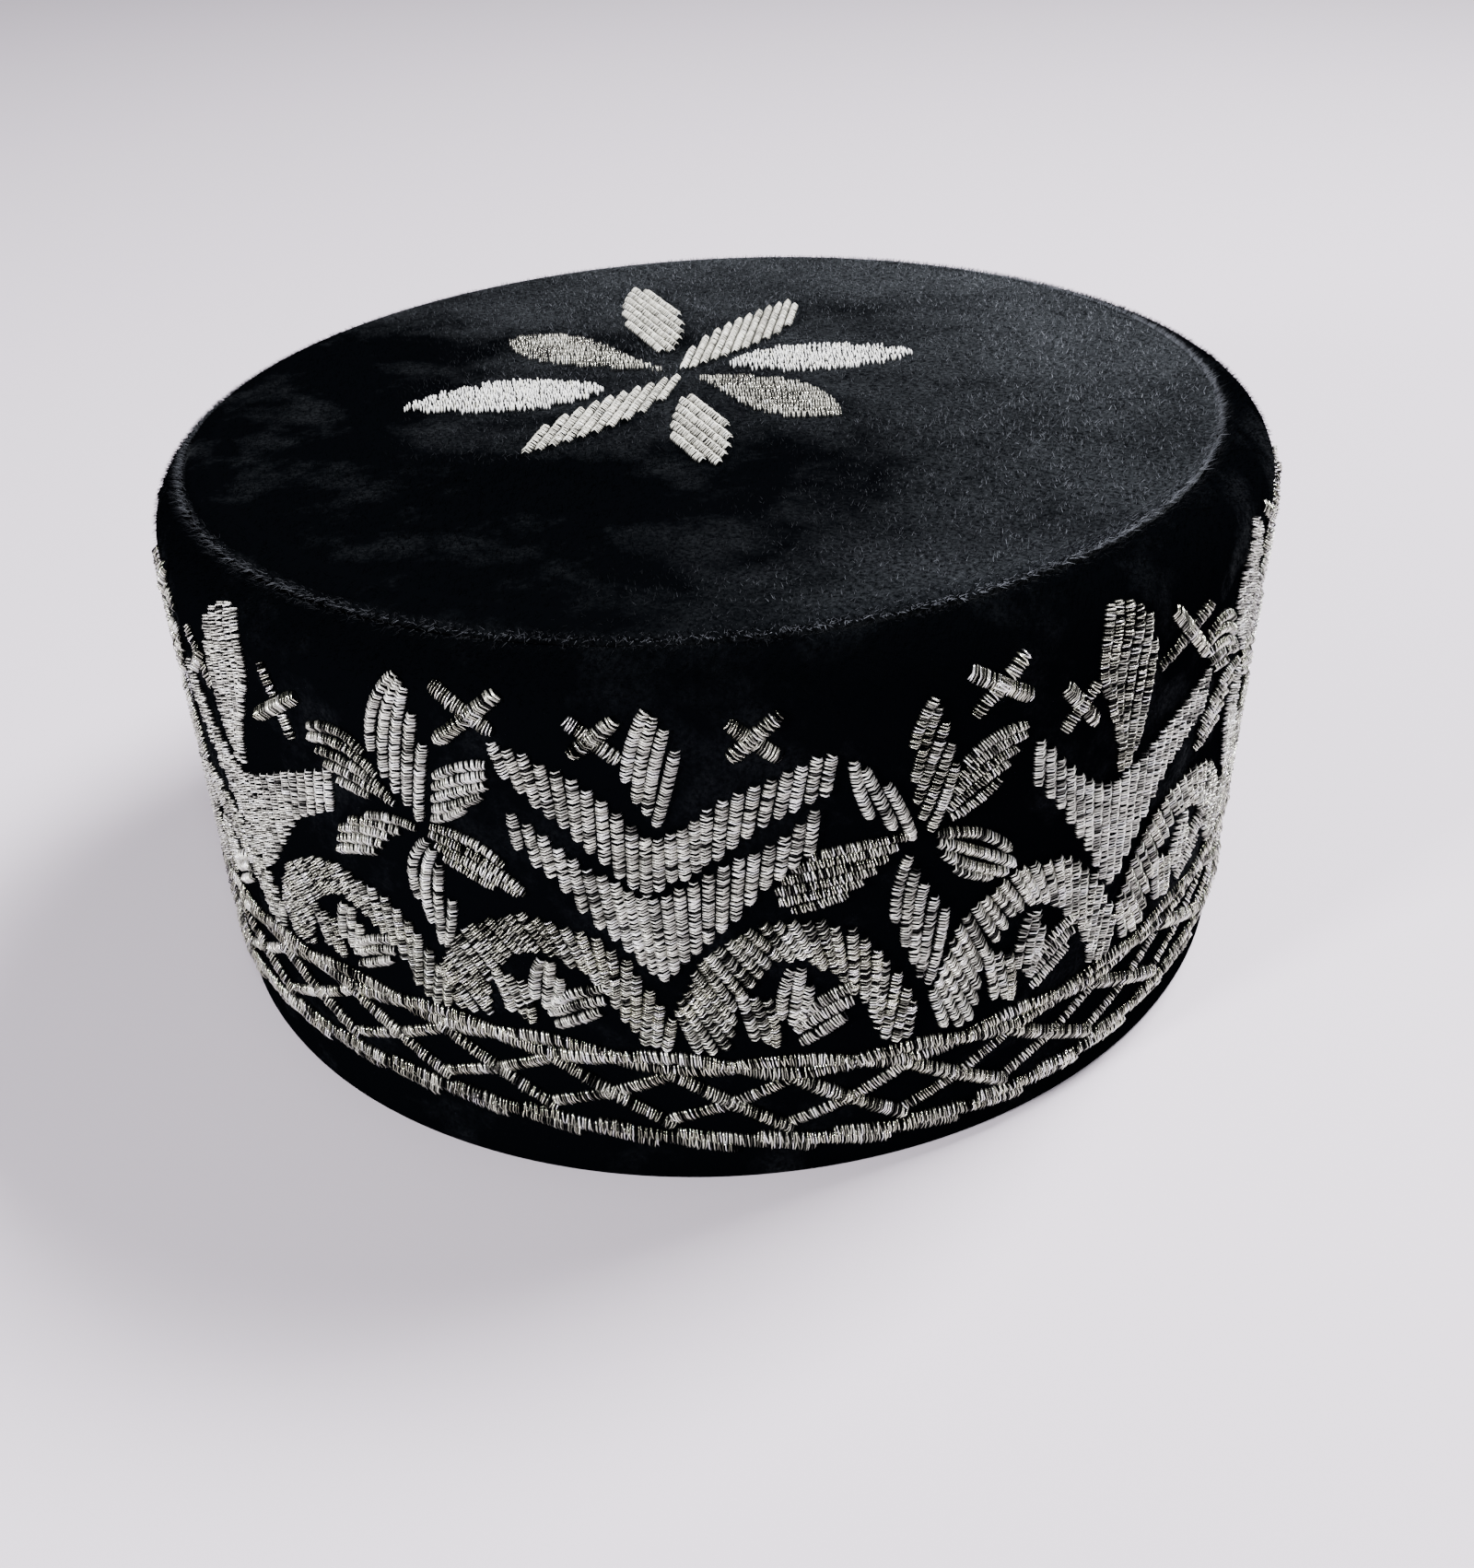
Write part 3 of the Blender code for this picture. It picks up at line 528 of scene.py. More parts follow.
def stitched(name, ribs, to_surface, seed, scatter=0.0):
    """One mesh of all the stitches over these ribs. A rib is its line on the chart, its
    width, how far it stands up and how bright its thread is."""
    chance = np.random.default_rng(seed)
    spots = []
    tones = []
    shines = []
    for points, width, rise, shine in ribs:
        line = np.array(points, float)
        steps = np.diff(line, axis=0)
        lengths = np.hypot(steps[:, 0], steps[:, 1])
        run = np.concatenate([[0.0], np.cumsum(lengths)])
        whole = run[-1] + 2.0 * RIB_OVERHANG
        count = max(2, round(whole / STITCH_PITCH))
        place = (np.arange(count) + 0.5 + chance.uniform(-0.2, 0.2, count)) * whole / count
        ends = np.minimum(place, whole - place)
        place = place - RIB_OVERHANG
        part = np.clip(np.searchsorted(run, place) - 1, 0, len(lengths) - 1)
        along = steps[part] / lengths[part][:, None]
        middle = (line[part] + along * (place - run[part])[:, None]).T
        fullness = END_FULLNESS + (1.0 - END_FULLNESS) * ends / RIB_END
        fullness = np.sqrt(np.clip(fullness, 0.0, 1.0))
        half = width / 2 * fullness * chance.uniform(0.96, 1.05, count)
        crest = rise * (END_CREST + (1.0 - END_CREST) * fullness) * chance.uniform(0.85, 1.1, count)
        slant = STITCH_SLANT + STITCH_ZIGZAG * np.where(np.arange(count) % 2, 1.0, -1.0)
        slant = slant + chance.normal(0.0, STITCH_LOOSE, count)
        aside = scatter * chance.uniform(-1.0, 1.0, count)
        across_x = -along[:, 1] * np.cos(slant) - along[:, 0] * np.sin(slant)
        across_y = along[:, 0] * np.cos(slant) - along[:, 1] * np.sin(slant)
        thick = STITCH_HALF * chance.uniform(0.8, 1.15, count)
        lean = chance.normal(0.0, STITCH_LEAN, count)
        glint = np.sin(2.0 * math.pi * (place / GLINT_RUN + chance.uniform(0.0, 1.0)))
        twist = STITCH_TWIST * glint + chance.normal(0.0, TWIST_LOOSE, count)

        def corner(out, forward, lift):
            reach = half * out + aside
            column = middle[0] + across_x * reach + across_y * thick * forward
            row = middle[1] + across_y * reach - across_x * thick * forward
            return np.stack([column, row, lift], axis=1)

        tip_lift = np.full(count, TIP_LIFT)
        stitch = [corner(-1.0, 0.0, tip_lift)]
        for out, lift in zip(RING_PLACES, RING_LIFTS):
            top = crest * lift * (1.0 + lean * out)
            stitch.append(corner(out, -1.0, top - thick * RING_DEPTH))
            stitch.append(corner(out, 1.0, top - thick * RING_DEPTH))
            stitch.append(corner(out, twist, top))
        stitch.append(corner(1.0, 0.0, tip_lift))
        spots.append(np.stack(stitch, axis=1))
        tone = 0.5 + chance.normal(0.0, RIB_TONE_SPREAD)
        spread = MATTE_TONE_SPREAD + BRIGHT_TONE_SPREAD * shine
        tone = tone + chance.normal(0.0, spread, count)
        tones.append(np.clip(tone, 0.0, 1.0) ** (1.0 + TONE_SKEW * shine))
        swing = GLINT_SWING * glint * (GLINT_LEAST + shine)
        shines.append(np.clip(shine + swing, 0.0, 1.0))
    spots = np.concatenate(spots)
    count, size = spots.shape[:2]
    flat = spots.reshape(-1, 3)
    places = to_surface(flat[:, 0], flat[:, 1], flat[:, 2] * MM)
    last = size - 1
    quads = []
    for ring in range(1, last - 3, 3):
        back, front, top = ring, ring + 1, ring + 2
        quads += [(front, back, back + 3, front + 3)]
        quads += [(back, top, top + 3, back + 3), (top, front, front + 3, top + 3)]
    back, front, top = last - 3, last - 2, last - 1
    tips = [(0, 3, 1), (0, 2, 3), (0, 1, 2)]
    tips += [(last, back, top), (last, top, front), (last, front, back)]
    first = np.arange(count)[:, None, None] * size
    faces = (first + np.array(quads)).reshape(-1, 4).tolist()
    faces += (first + np.array(tips)).reshape(-1, 3).tolist()
    mesh = bpy.data.meshes.new(name)
    mesh.from_pydata(places.tolist(), [], faces)
    mesh.shade_smooth()
    for label, values in (("tone", tones), ("shine", shines)):
        attribute = mesh.attributes.new(label, "FLOAT", "POINT")
        values = np.repeat(np.concatenate(values), size).astype(np.float32)
        attribute.data.foreach_set("value", values)
    piece = bpy.data.objects.new(name, mesh)
    bpy.context.scene.collection.objects.link(piece)
    return piece


def thread_material(name, matte, bright, dullest=0.0, least_metal=0.6):
    """Thread wrapped in metal foil: each stitch has a tone, each rib a brightness."""
    material = bpy.data.materials.new(name)
    material.use_nodes = True
    nodes = material.node_tree.nodes
    link = material.node_tree.links.new
    shader = nodes["Principled BSDF"]
    tone = nodes.new("ShaderNodeAttribute")
    tone.attribute_name = "tone"
    shine = nodes.new("ShaderNodeAttribute")
    shine.attribute_name = "shine"
    colour = nodes.new("ShaderNodeMix")
    colour.data_type = "RGBA"
    colour.inputs["A"].default_value = matte
    colour.inputs["B"].default_value = bright
    link(shine.outputs["Fac"], colour.inputs["Factor"])
    spread = nodes.new("ShaderNodeMapRange")
    spread.inputs["To Min"].default_value = dullest
    spread.inputs["To Max"].default_value = 2.0
    link(tone.outputs["Fac"], spread.inputs["Value"])
    shaded = nodes.new("ShaderNodeMix")
    shaded.data_type = "RGBA"
    shaded.blend_type = "MULTIPLY"
    shaded.inputs["Factor"].default_value = 1.0
    shaded.clamp_result = True
    link(colour.outputs["Result"], shaded.inputs["A"])
    link(spread.outputs["Result"], shaded.inputs["B"])
    link(shaded.outputs["Result"], shader.inputs["Base Color"])
    metal = nodes.new("ShaderNodeMapRange")
    metal.inputs["To Min"].default_value = least_metal
    metal.inputs["To Max"].default_value = 1.0
    link(shine.outputs["Fac"], metal.inputs["Value"])
    link(metal.outputs["Result"], shader.inputs["Metallic"])
    polish = nodes.new("ShaderNodeMapRange")
    polish.inputs["To Min"].default_value = 0.40
    polish.inputs["To Max"].default_value = 0.11
    link(shine.outputs["Fac"], polish.inputs["Value"])
    link(polish.outputs["Result"], shader.inputs["Roughness"])
    return material


SILVER = thread_material("silver_thread", SILVER_MATTE, SILVER_BRIGHT)


def finish_thread(piece, material, nodes):
    piece.data.materials.append(material)
    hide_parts(*nodes)
    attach(piece, "root")


CORD_WIDTH = 2.75
CORD_RISE = 1.1
CORD_SHINE = 0.85
LOWER_CORD_STEP = 0.25
UPPER_CORD_STEP = 0.15
LOWER_LINE = 8.8
UPPER_LINE = 23.05
LOWER_CORDS = 48
LOWER_CORD_LENGTH = 21.0
LOWER_CORD_FALL = 1.05
LOWER_CORD_BOW = 0.2
UPPER_WAVE = 36.0
UPPER_SWING = 1.15
WAVE_STEP = 2.0

ribs = []
for number in range(LOWER_CORDS):
    start = number * COLUMNS_ROUND / LOWER_CORDS
    end = start + LOWER_CORD_LENGTH
    middle = (start + end) / 2
    line = [
        (start, LOWER_LINE + LOWER_CORD_FALL), (middle, LOWER_LINE + LOWER_CORD_BOW),
        (end, LOWER_LINE - LOWER_CORD_FALL),
    ]
    ribs.append((line, CORD_WIDTH, CORD_RISE + LOWER_CORD_STEP * (number % 2), CORD_SHINE))
lower_border = stitched("lower_border_thread", ribs, chart_to_band, 11)
finish_thread(lower_border, SILVER, ["lower_border"])

ribs = []
for side in (-1.0, 1.0):
    for wave in range(round(COLUMNS_ROUND / UPPER_WAVE)):
        line = []
        for step in range(round(UPPER_WAVE / WAVE_STEP) + 1):
            column = wave * UPPER_WAVE + step * WAVE_STEP
            swing = side * UPPER_SWING * math.cos(2.0 * math.pi * step * WAVE_STEP / UPPER_WAVE)
            line.append((column, UPPER_LINE + swing))
        ribs.append((line, CORD_WIDTH, CORD_RISE + UPPER_CORD_STEP * side, CORD_SHINE))
upper_border = stitched("upper_border_thread", ribs, chart_to_band, 12)
finish_thread(upper_border, SILVER, ["upper_border"])

# Lattice: single cords of the same bright thread that cross between the two borders, one
# slanting down and a thinner one slanting up at every crossing.
CROSSINGS = 32
FIRST_CROSSING = 8.0
CROSSING_ROW = 16.2
# Each cord's width, how far it stands up and how bright it is
RISING_CORD = (2.25, 0.9, 0.7)
FALLING_CORD = (2.75, 1.35, 0.85)
# Each cord's line, as columns and rows from the crossing
RISING_LINE = [(-9.0, -3.8), (0.0, -0.2), (9.0, 4.4)]
FALLING_LINE = [(-9.0, 5.2), (0.0, 0.4), (9.5, -4.8)]
ribs = []
for number in range(CROSSINGS):
    column = FIRST_CROSSING + number * COLUMNS_ROUND / CROSSINGS
    for line, cord in ((RISING_LINE, RISING_CORD), (FALLING_LINE, FALLING_CORD)):
        points = [(column + across, CROSSING_ROW + up) for across, up in line]
        ribs.append((points, *cord))
lattice = stitched("lattice_thread", ribs, chart_to_band, 13)
finish_thread(lattice, SILVER, [])

# Scroll arches: short ribs side by side that follow each arch round, and a sprig of three
# small leaves inside it. Their feet stand on the upper border.
SCROLLS = 16
FIRST_SCROLL = 1.2
SCROLL_SPACING = COLUMNS_ROUND / SCROLLS
RIB_LAP = 0.97
RIB_RISE = 1.15
CURVE_POINTS = 9
ARCH_WIDTH = 2.0
ARCH_NUDGE = 0.35
ARCH_SHINES = (0.6, 0.35, 0.5, 0.65)
ARCH_SHIFTS = (0.0, 2.0, 2.0, 0.0)
# A rib of an arch or a chevron is its top column and row, then its foot column and row
ARCH_RIBS = [
    (-0.4, 33.4, 2.4, 26.2), (0.1, 34.6, 4.8, 26.0), (0.8, 36.4, 7.0, 26.4),
    (1.5, 38.2, 7.2, 28.8), (2.4, 40.0, 7.5, 31.3), (3.3, 41.6, 7.9, 33.8),
    (4.4, 42.9, 8.8, 35.9), (5.7, 44.0, 10.3, 37.8), (7.1, 45.0, 11.6, 39.2),
    (8.7, 45.9, 12.9, 40.6), (10.3, 46.7, 14.4, 41.5), (12.1, 47.4, 16.1, 41.5),
    (13.9, 47.8, 17.8, 41.2), (15.9, 47.8, 19.6, 40.8), (18.0, 47.4, 21.2, 39.7),
    (20.3, 46.8, 22.7, 38.6), (22.6, 46.1, 24.1, 37.0), (24.8, 45.0, 25.6, 35.2),
    (26.8, 43.4, 27.1, 33.0), (28.6, 41.4, 28.4, 30.8), (30.3, 39.0, 29.4, 28.4),
    (32.0, 36.8, 30.4, 26.3), (33.5, 34.3, 31.9, 25.9), (34.8, 31.8, 33.6, 25.9),
]
# Any other rib is its width, how bright its thread is, then its points as column and row
SPRIG_RIBS = [
    (2.1, 0.30, 8.8, 36.4, 9.7, 33.0, 10.9, 28.4),
    (2.1, 0.55, 10.6, 35.6, 11.7, 31.9, 12.9, 27.8),
    (2.1, 0.70, 12.6, 35.0, 13.5, 31.3, 13.8, 27.2),
    (2.1, 0.30, 16.2, 39.8, 15.0, 36.0, 14.7, 31.9),
    (2.1, 0.25, 17.6, 39.9, 17.0, 35.4, 16.4, 30.7),
    (2.0, 0.30, 18.8, 36.9, 18.2, 33.1, 17.0, 29.5),
    (2.2, 0.40, 17.6, 31.9, 20.9, 34.2, 25.3, 36.0),
    (2.2, 0.35, 17.3, 29.8, 20.9, 32.0, 25.3, 33.7),
    (2.1, 0.30, 17.6, 27.5, 20.9, 29.3, 24.4, 31.5),
]


def charted(row, column=0.0, mirror=1.0):
    """A rib's width, brightness and smooth line through its points."""
    width, shine, *spots = row
    across = column + mirror * np.array(spots[0::2])
    up = np.array(spots[1::2])
    run = np.concatenate([[0.0], np.cumsum(np.hypot(np.diff(across), np.diff(up)))])
    degree = min(2, len(up) - 1)
    along = np.linspace(0.0, run[-1], CURVE_POINTS)
    curve = [np.polyval(np.polyfit(run, values, degree), along) for values in (across, up)]
    return np.stack(curve, axis=1), width * RIB_LAP, RIB_RISE, shine


ribs = []
scroll_chance = np.random.default_rng(21)
for number in range(SCROLLS):
    column = FIRST_SCROLL + number * SCROLL_SPACING + ARCH_SHIFTS[number % len(ARCH_SHIFTS)]
    shine = ARCH_SHINES[number % len(ARCH_SHINES)]
    for top_column, top_row, foot_column, foot_row in ARCH_RIBS:
        nudge = scroll_chance.uniform(-ARCH_NUDGE, ARCH_NUDGE, 4)
        line = [(column + top_column + nudge[0], top_row + nudge[1]),
                (column + foot_column + nudge[2], foot_row + nudge[3])]
        ribs.append((line, ARCH_WIDTH, RIB_RISE, shine))
    ribs += [charted(row, column) for row in SPRIG_RIBS]
scrolls = stitched("scroll_stitches", ribs, chart_to_band, 14)
scroll_nodes = [f"scroll_{number + 1:02d}" for number in range(SCROLLS)]
finish_thread(scrolls, SILVER, scroll_nodes)

# Chevrons: upright ribs of matte thread side by side, leaning out along each arm. The first
# motif nests two of them, and the second has one broad one.
UPRIGHT_WIDTH = 1.92
NESTED_SHINE = 0.15
BROAD_SHINE = 0.12
MOTIF_B_COLUMN = CHART_COLUMNS / 2
UPPER_CHEVRON_RIBS = [
    (-22.3, 75.5, -20.7, 70.2), (-20.2, 74.6, -18.6, 68.4), (-18.1, 74.2, -16.7, 66.2),
    (-15.9, 72.9, -14.9, 64.8), (-13.7, 72.0, -13.1, 63.4), (-11.6, 71.0, -11.4, 61.4),
    (-9.7, 69.4, -9.8, 59.6), (-7.8, 67.9, -7.9, 58.0), (-5.9, 66.0, -6.0, 55.8),
    (-4.0, 64.1, -4.2, 54.2), (-2.2, 62.4, -2.5, 52.8), (-0.5, 62.0, -0.7, 53.8),
    (1.2, 62.9, 1.1, 55.3), (2.8, 63.6, 2.9, 55.4), (4.5, 64.8, 4.5, 56.8),
    (6.2, 66.5, 5.6, 58.0), (8.3, 67.9, 7.4, 58.6), (10.4, 68.8, 9.3, 60.3),
    (12.6, 69.8, 11.3, 61.9), (14.8, 70.4, 13.5, 63.5), (17.0, 71.4, 15.7, 64.6),
    (18.9, 72.2, 17.7, 65.5), (20.9, 73.2, 19.9, 66.5), (22.9, 73.2, 21.9, 67.2),
]
LOWER_CHEVRON_RIBS = [
    (-20.6, 64.6, -20.0, 59.2), (-18.5, 63.2, -17.5, 56.7), (-16.4, 61.7, -15.6, 55.1),
    (-14.4, 59.9, -13.6, 52.9), (-12.5, 58.3, -11.5, 49.8), (-10.5, 56.8, -9.2, 47.1),
    (-8.6, 56.0, -7.2, 45.3), (-6.8, 54.9, -5.3, 43.2), (-5.1, 53.6, -3.6, 41.2),
    (-3.4, 52.6, -2.1, 39.6), (-1.7, 52.3, -0.7, 38.4), (0.2, 52.9, 0.8, 39.9),
    (2.0, 54.1, 2.3, 41.6), (4.0, 55.0, 4.0, 43.2), (6.1, 56.2, 5.7, 45.0),
    (8.2, 57.6, 7.6, 46.9), (10.3, 58.5, 9.6, 48.6), (12.4, 59.3, 11.6, 51.1),
    (14.5, 60.2, 13.7, 53.4), (16.6, 61.5, 15.7, 54.8), (18.7, 63.2, 17.6, 56.3),
    (20.6, 65.0, 19.8, 57.9),
]
BROAD_CHEVRON_RIBS = [
    (-17.8, 68.0, -17.4, 60.9), (-15.8, 66.2, -14.9, 58.2), (-13.8, 63.9, -12.6, 55.5),
    (-11.7, 61.8, -10.3, 52.1), (-9.6, 59.7, -8.1, 49.0), (-7.6, 58.0, -5.9, 46.0),
    (-5.5, 56.8, -3.9, 42.8), (-3.5, 56.0, -1.9, 39.8), (-1.4, 55.7, -0.2, 38.2),
    (0.7, 56.2, 1.4, 39.3), (2.7, 56.9, 3.0, 41.4), (4.7, 57.8, 4.7, 43.7),
    (6.8, 58.6, 6.5, 46.2), (8.9, 59.7, 8.3, 48.7), (10.9, 60.6, 10.0, 51.0),
    (13.0, 61.5, 11.9, 53.0), (15.1, 62.2, 13.9, 54.3), (17.1, 63.1, 15.9, 55.4),
    (19.2, 63.9, 18.0, 56.6), (21.2, 64.7, 20.2, 57.6),
]
ribs = []
chevron_nodes = []
for repeat in range(REPEATS):
    start = repeat * CHART_COLUMNS
    for top_column, top_row, foot_column, foot_row in UPPER_CHEVRON_RIBS + LOWER_CHEVRON_RIBS:
        line = [(start + top_column, top_row), (start + foot_column, foot_row)]
        ribs.append((line, UPRIGHT_WIDTH, RIB_RISE, NESTED_SHINE))
    for top_column, top_row, foot_column, foot_row in BROAD_CHEVRON_RIBS:
        top = (start + MOTIF_B_COLUMN + top_column, top_row)
        foot = (start + MOTIF_B_COLUMN + foot_column, foot_row)
        ribs.append(([top, foot], UPRIGHT_WIDTH, RIB_RISE, BROAD_SHINE))
    for label in ("upper_chevron", "lower_chevron", "broad_chevron"):
        chevron_nodes.append(f"{label}_{repeat + 1}")
chevrons = stitched("chevron_stitches", ribs, chart_to_band, 15)
finish_thread(chevrons, SILVER, chevron_nodes)

# Leaves: a small bud leaf over the nested chevrons and a tall leaf over the broad one, each
# of long curved ribs side by side. Every second tall leaf is mirrored and in matte thread.
BUD_RIBS = [
    (1.9, 0.2, -4.3, 71.0, -3.4, 76.0, -1.3, 81.2),
    (1.9, 0.2, -3.0, 67.8, -2.2, 73.5, -0.3, 80.4),
    (1.9, 0.1, -1.8, 66.0, -0.7, 72.0, 1.1, 78.8),
    (1.9, 0.1, -0.6, 64.2, 0.9, 69.5, 2.4, 75.6),
]
TALL_RIBS = [
    (2.0, 0.65, -5.6, 84.2, -7.1, 80.3, -7.0, 75.6, -5.6, 71.0),
    (2.0, 0.75, -3.9, 84.4, -5.2, 80.3, -5.2, 74.4, -3.6, 66.4),
    (2.0, 0.65, -2.0, 83.9, -3.2, 79.1, -3.2, 72.1, -2.0, 62.6),
    (2.0, 0.65, -0.2, 82.8, -1.0, 77.4, -1.2, 69.7, -1.0, 57.4),
    (2.0, 0.60, 1.6, 80.9, 1.3, 75.0, 1.0, 67.4, 0.4, 57.2),
    (1.9, 0.60, 3.2, 76.4, 3.3, 70.3, 2.6, 64.4, 1.6, 59.6),
]
MIRRORED_SHIFT = -2.0
MIRRORED_SHINE = 0.1
ribs = []
leaf_nodes = []
for repeat in range(REPEATS):
    start = repeat * CHART_COLUMNS
    ribs += [charted(row, start) for row in BUD_RIBS]
    column = start + MOTIF_B_COLUMN
    for width, shine, *spots in TALL_RIBS:
        if repeat % 2:
            mirrored = (width, MIRRORED_SHINE, *spots)
            ribs.append(charted(mirrored, column + MIRRORED_SHIFT, -1.0))
        else:
            ribs.append(charted((width, shine, *spots), column))
    leaf_nodes += [f"bud_leaf_{repeat + 1}", f"tall_leaf_{repeat + 1}"]
leaves = stitched("leaf_stitches", ribs, chart_to_band, 16)
finish_thread(leaves, SILVER, leaf_nodes)

# Flowers: six petals each, some in bright thread and some in matte, with the ribs of each
# petal at their own lean. A left and a right one stand beside each nested chevron.
FLOWER_LEFT_RIBS = [
    (1.9, 0.1, -41.4, 70.6, -40.6, 75.6, -38.5, 80.3, -36.2, 82.9),
    (1.9, 0.1, -39.8, 66.8, -39.1, 72.6, -37.1, 79.1, -35.3, 82.4),
    (1.9, 0.1, -38.2, 64.7, -37.4, 71.5, -35.6, 77.9, -34.5, 81.5),
    (1.9, 0.1, -36.6, 63.0, -35.9, 68.5, -34.4, 74.4, -33.7, 78.0),
    (1.9, 0.1, -35.0, 60.9, -34.4, 65.6, -33.3, 70.3, -32.6, 73.4),
    (1.8, 0.2, -31.5, 68.5, -27.9, 70.6, -23.5, 71.8),
    (1.8, 0.2, -31.8, 66.8, -27.4, 68.9, -23.5, 70.2),
    (1.8, 0.2, -32.1, 64.9, -27.9, 66.9, -23.7, 68.5),
    (1.8, 0.3, -32.4, 63.1, -28.5, 64.7, -24.7, 66.8),
    (1.7, 0.3, -32.8, 61.6, -30.3, 62.5, -27.4, 64.4),
    (1.8, 0.7, -33.2, 60.2, -29.1, 59.5, -25.0, 57.9, -22.6, 55.8),
    (1.9, 0.8, -33.5, 58.9, -29.7, 57.9, -25.6, 56.0, -21.5, 53.2, -20.0, 51.5),
    (1.9, 0.7, -32.9, 57.2, -29.1, 55.9, -25.0, 53.8, -20.9, 51.3),
    (1.8, 0.7, -31.8, 55.4, -28.5, 53.9, -24.4, 51.9),
    (1.9, 0.1, -34.4, 57.6, -36.8, 54.4, -37.7, 50.9, -37.0, 47.2),
    (1.9, 0.1, -33.5, 56.4, -35.2, 52.1, -35.9, 47.9, -35.3, 42.8),
    (1.9, 0.1, -32.9, 54.0, -33.5, 49.7, -34.1, 45.0, -34.1, 39.1),
    (1.8, 0.1, -31.5, 48.4, -32.0, 44.4, -32.8, 40.9, -33.4, 38.8),
    (1.8, 0.5, -44.4, 59.0, -40.3, 59.8, -35.9, 59.3),
    (1.9, 0.6, -48.0, 57.1, -43.8, 58.0, -38.8, 57.9),
    (1.9, 0.5, -50.2, 55.0, -46.2, 56.2, -40.8, 56.5),
    (1.9, 0.6, -50.9, 53.0, -46.8, 54.4, -42.2, 54.8),
    (1.9, 0.5, -51.5, 51.0, -47.9, 52.3, -43.6, 53.2),
    (1.9, 0.6, -53.0, 70.9, -49.1, 71.9, -45.0, 71.2, -43.2, 69.7),
    (1.9, 0.7, -53.2, 69.2, -49.1, 69.9, -44.4, 68.7, -41.3, 66.4),
    (1.9, 0.6, -52.1, 67.4, -48.5, 67.6, -43.8, 66.0, -39.5, 63.6),
    (1.9, 0.6, -50.9, 65.5, -47.4, 65.5, -43.2, 64.2, -38.9, 62.6),
    (1.7, 0.5, -48.6, 63.6, -46.2, 63.2, -43.0, 62.6),
]
FLOWER_RIGHT_RIBS = [
    (1.9, 0.6, 34.2, 72.2, 35.2, 75.8, 37.0, 79.0),
    (1.9, 0.7, 34.6, 67.0, 35.7, 72.1, 37.6, 77.6),
    (1.9, 0.6, 34.9, 63.6, 36.6, 68.5, 38.7, 75.0),
    (1.9, 0.6, 35.9, 60.7, 37.9, 66.0, 39.8, 71.6),
    (1.9, 0.5, 37.3, 58.6, 39.1, 63.0, 40.6, 68.4),
    (1.9, 0.1, 25.8, 71.7, 26.5, 67.9, 28.4, 62.6),
    (2.0, 0.1, 27.1, 70.5, 29.1, 66.2, 31.7, 60.3),
    (1.9, 0.1, 30.4, 67.4, 32.6, 63.2, 34.6, 57.9),
    (1.9, 0.5, 42.1, 68.1, 46.2, 70.6, 51.5, 71.2),
    (1.9, 0.6, 41.2, 65.8, 45.6, 68.5, 51.5, 69.9),
    (1.9, 0.6, 40.4, 63.4, 45.0, 66.4, 50.2, 68.0),
    (1.9, 0.6, 39.6, 61.2, 44.4, 64.2, 49.0, 66.2),
    (1.8, 0.5, 40.3, 59.8, 44.4, 61.6, 47.8, 63.9),
    (2.0, 0.5, 38.2, 57.6, 42.6, 57.0, 46.8, 54.8, 50.4, 51.7),
    (2.0, 0.5, 38.4, 56.2, 42.1, 54.8, 46.8, 51.7, 51.5, 48.9),
    (2.0, 0.5, 39.4, 54.2, 42.6, 52.0, 46.8, 49.2, 50.3, 48.0),
    (1.9, 0.4, 41.2, 51.5, 43.8, 49.7, 47.6, 48.0),
    (1.9, 0.2, 34.3, 55.2, 32.9, 50.9, 32.6, 45.0),
    (2.0, 0.2, 35.4, 53.0, 34.4, 47.4, 34.4, 40.9),
    (2.0, 0.1, 36.8, 50.0, 35.9, 44.4, 35.9, 37.9),
    (2.0, 0.1, 38.5, 47.4, 37.7, 42.1, 36.9, 35.6),
    (1.9, 0.1, 40.3, 45.2, 39.7, 40.3, 38.3, 34.2),
    (1.8, 0.8, 19.7, 57.6, 26.8, 58.3, 34.4, 58.5),
    (1.9, 0.7, 17.4, 55.9, 24.4, 56.7, 32.4, 57.0),
    (1.9, 0.8, 15.9, 54.2, 22.6, 54.9, 31.0, 55.5),
    (1.9, 0.7, 15.3, 52.5, 22.1, 53.2, 29.4, 53.9),
    (1.9, 0.8, 15.6, 50.8, 21.5, 51.5, 27.4, 52.3),
    (1.8, 0.7, 17.4, 49.2, 21.5, 49.8, 25.4, 50.7),
]
ribs = []
flower_nodes = []
for repeat in range(REPEATS):
    start = repeat * CHART_COLUMNS
    ribs += [charted(row, start) for row in FLOWER_LEFT_RIBS + FLOWER_RIGHT_RIBS]
    flower_nodes += [f"left_flower_{repeat + 1}", f"right_flower_{repeat + 1}"]
flowers = stitched("flower_stitches", ribs, chart_to_band, 17)
finish_thread(flowers, SILVER, flower_nodes)

# Small crosses: two short strokes of bright thread each, sewn one over the other between
# the tops of the leaves and flowers.
CROSS_WIDTH = 2.6
UNDER_RISE = 1.0
OVER_RISE = 1.4
CROSS_SHINE = 0.75
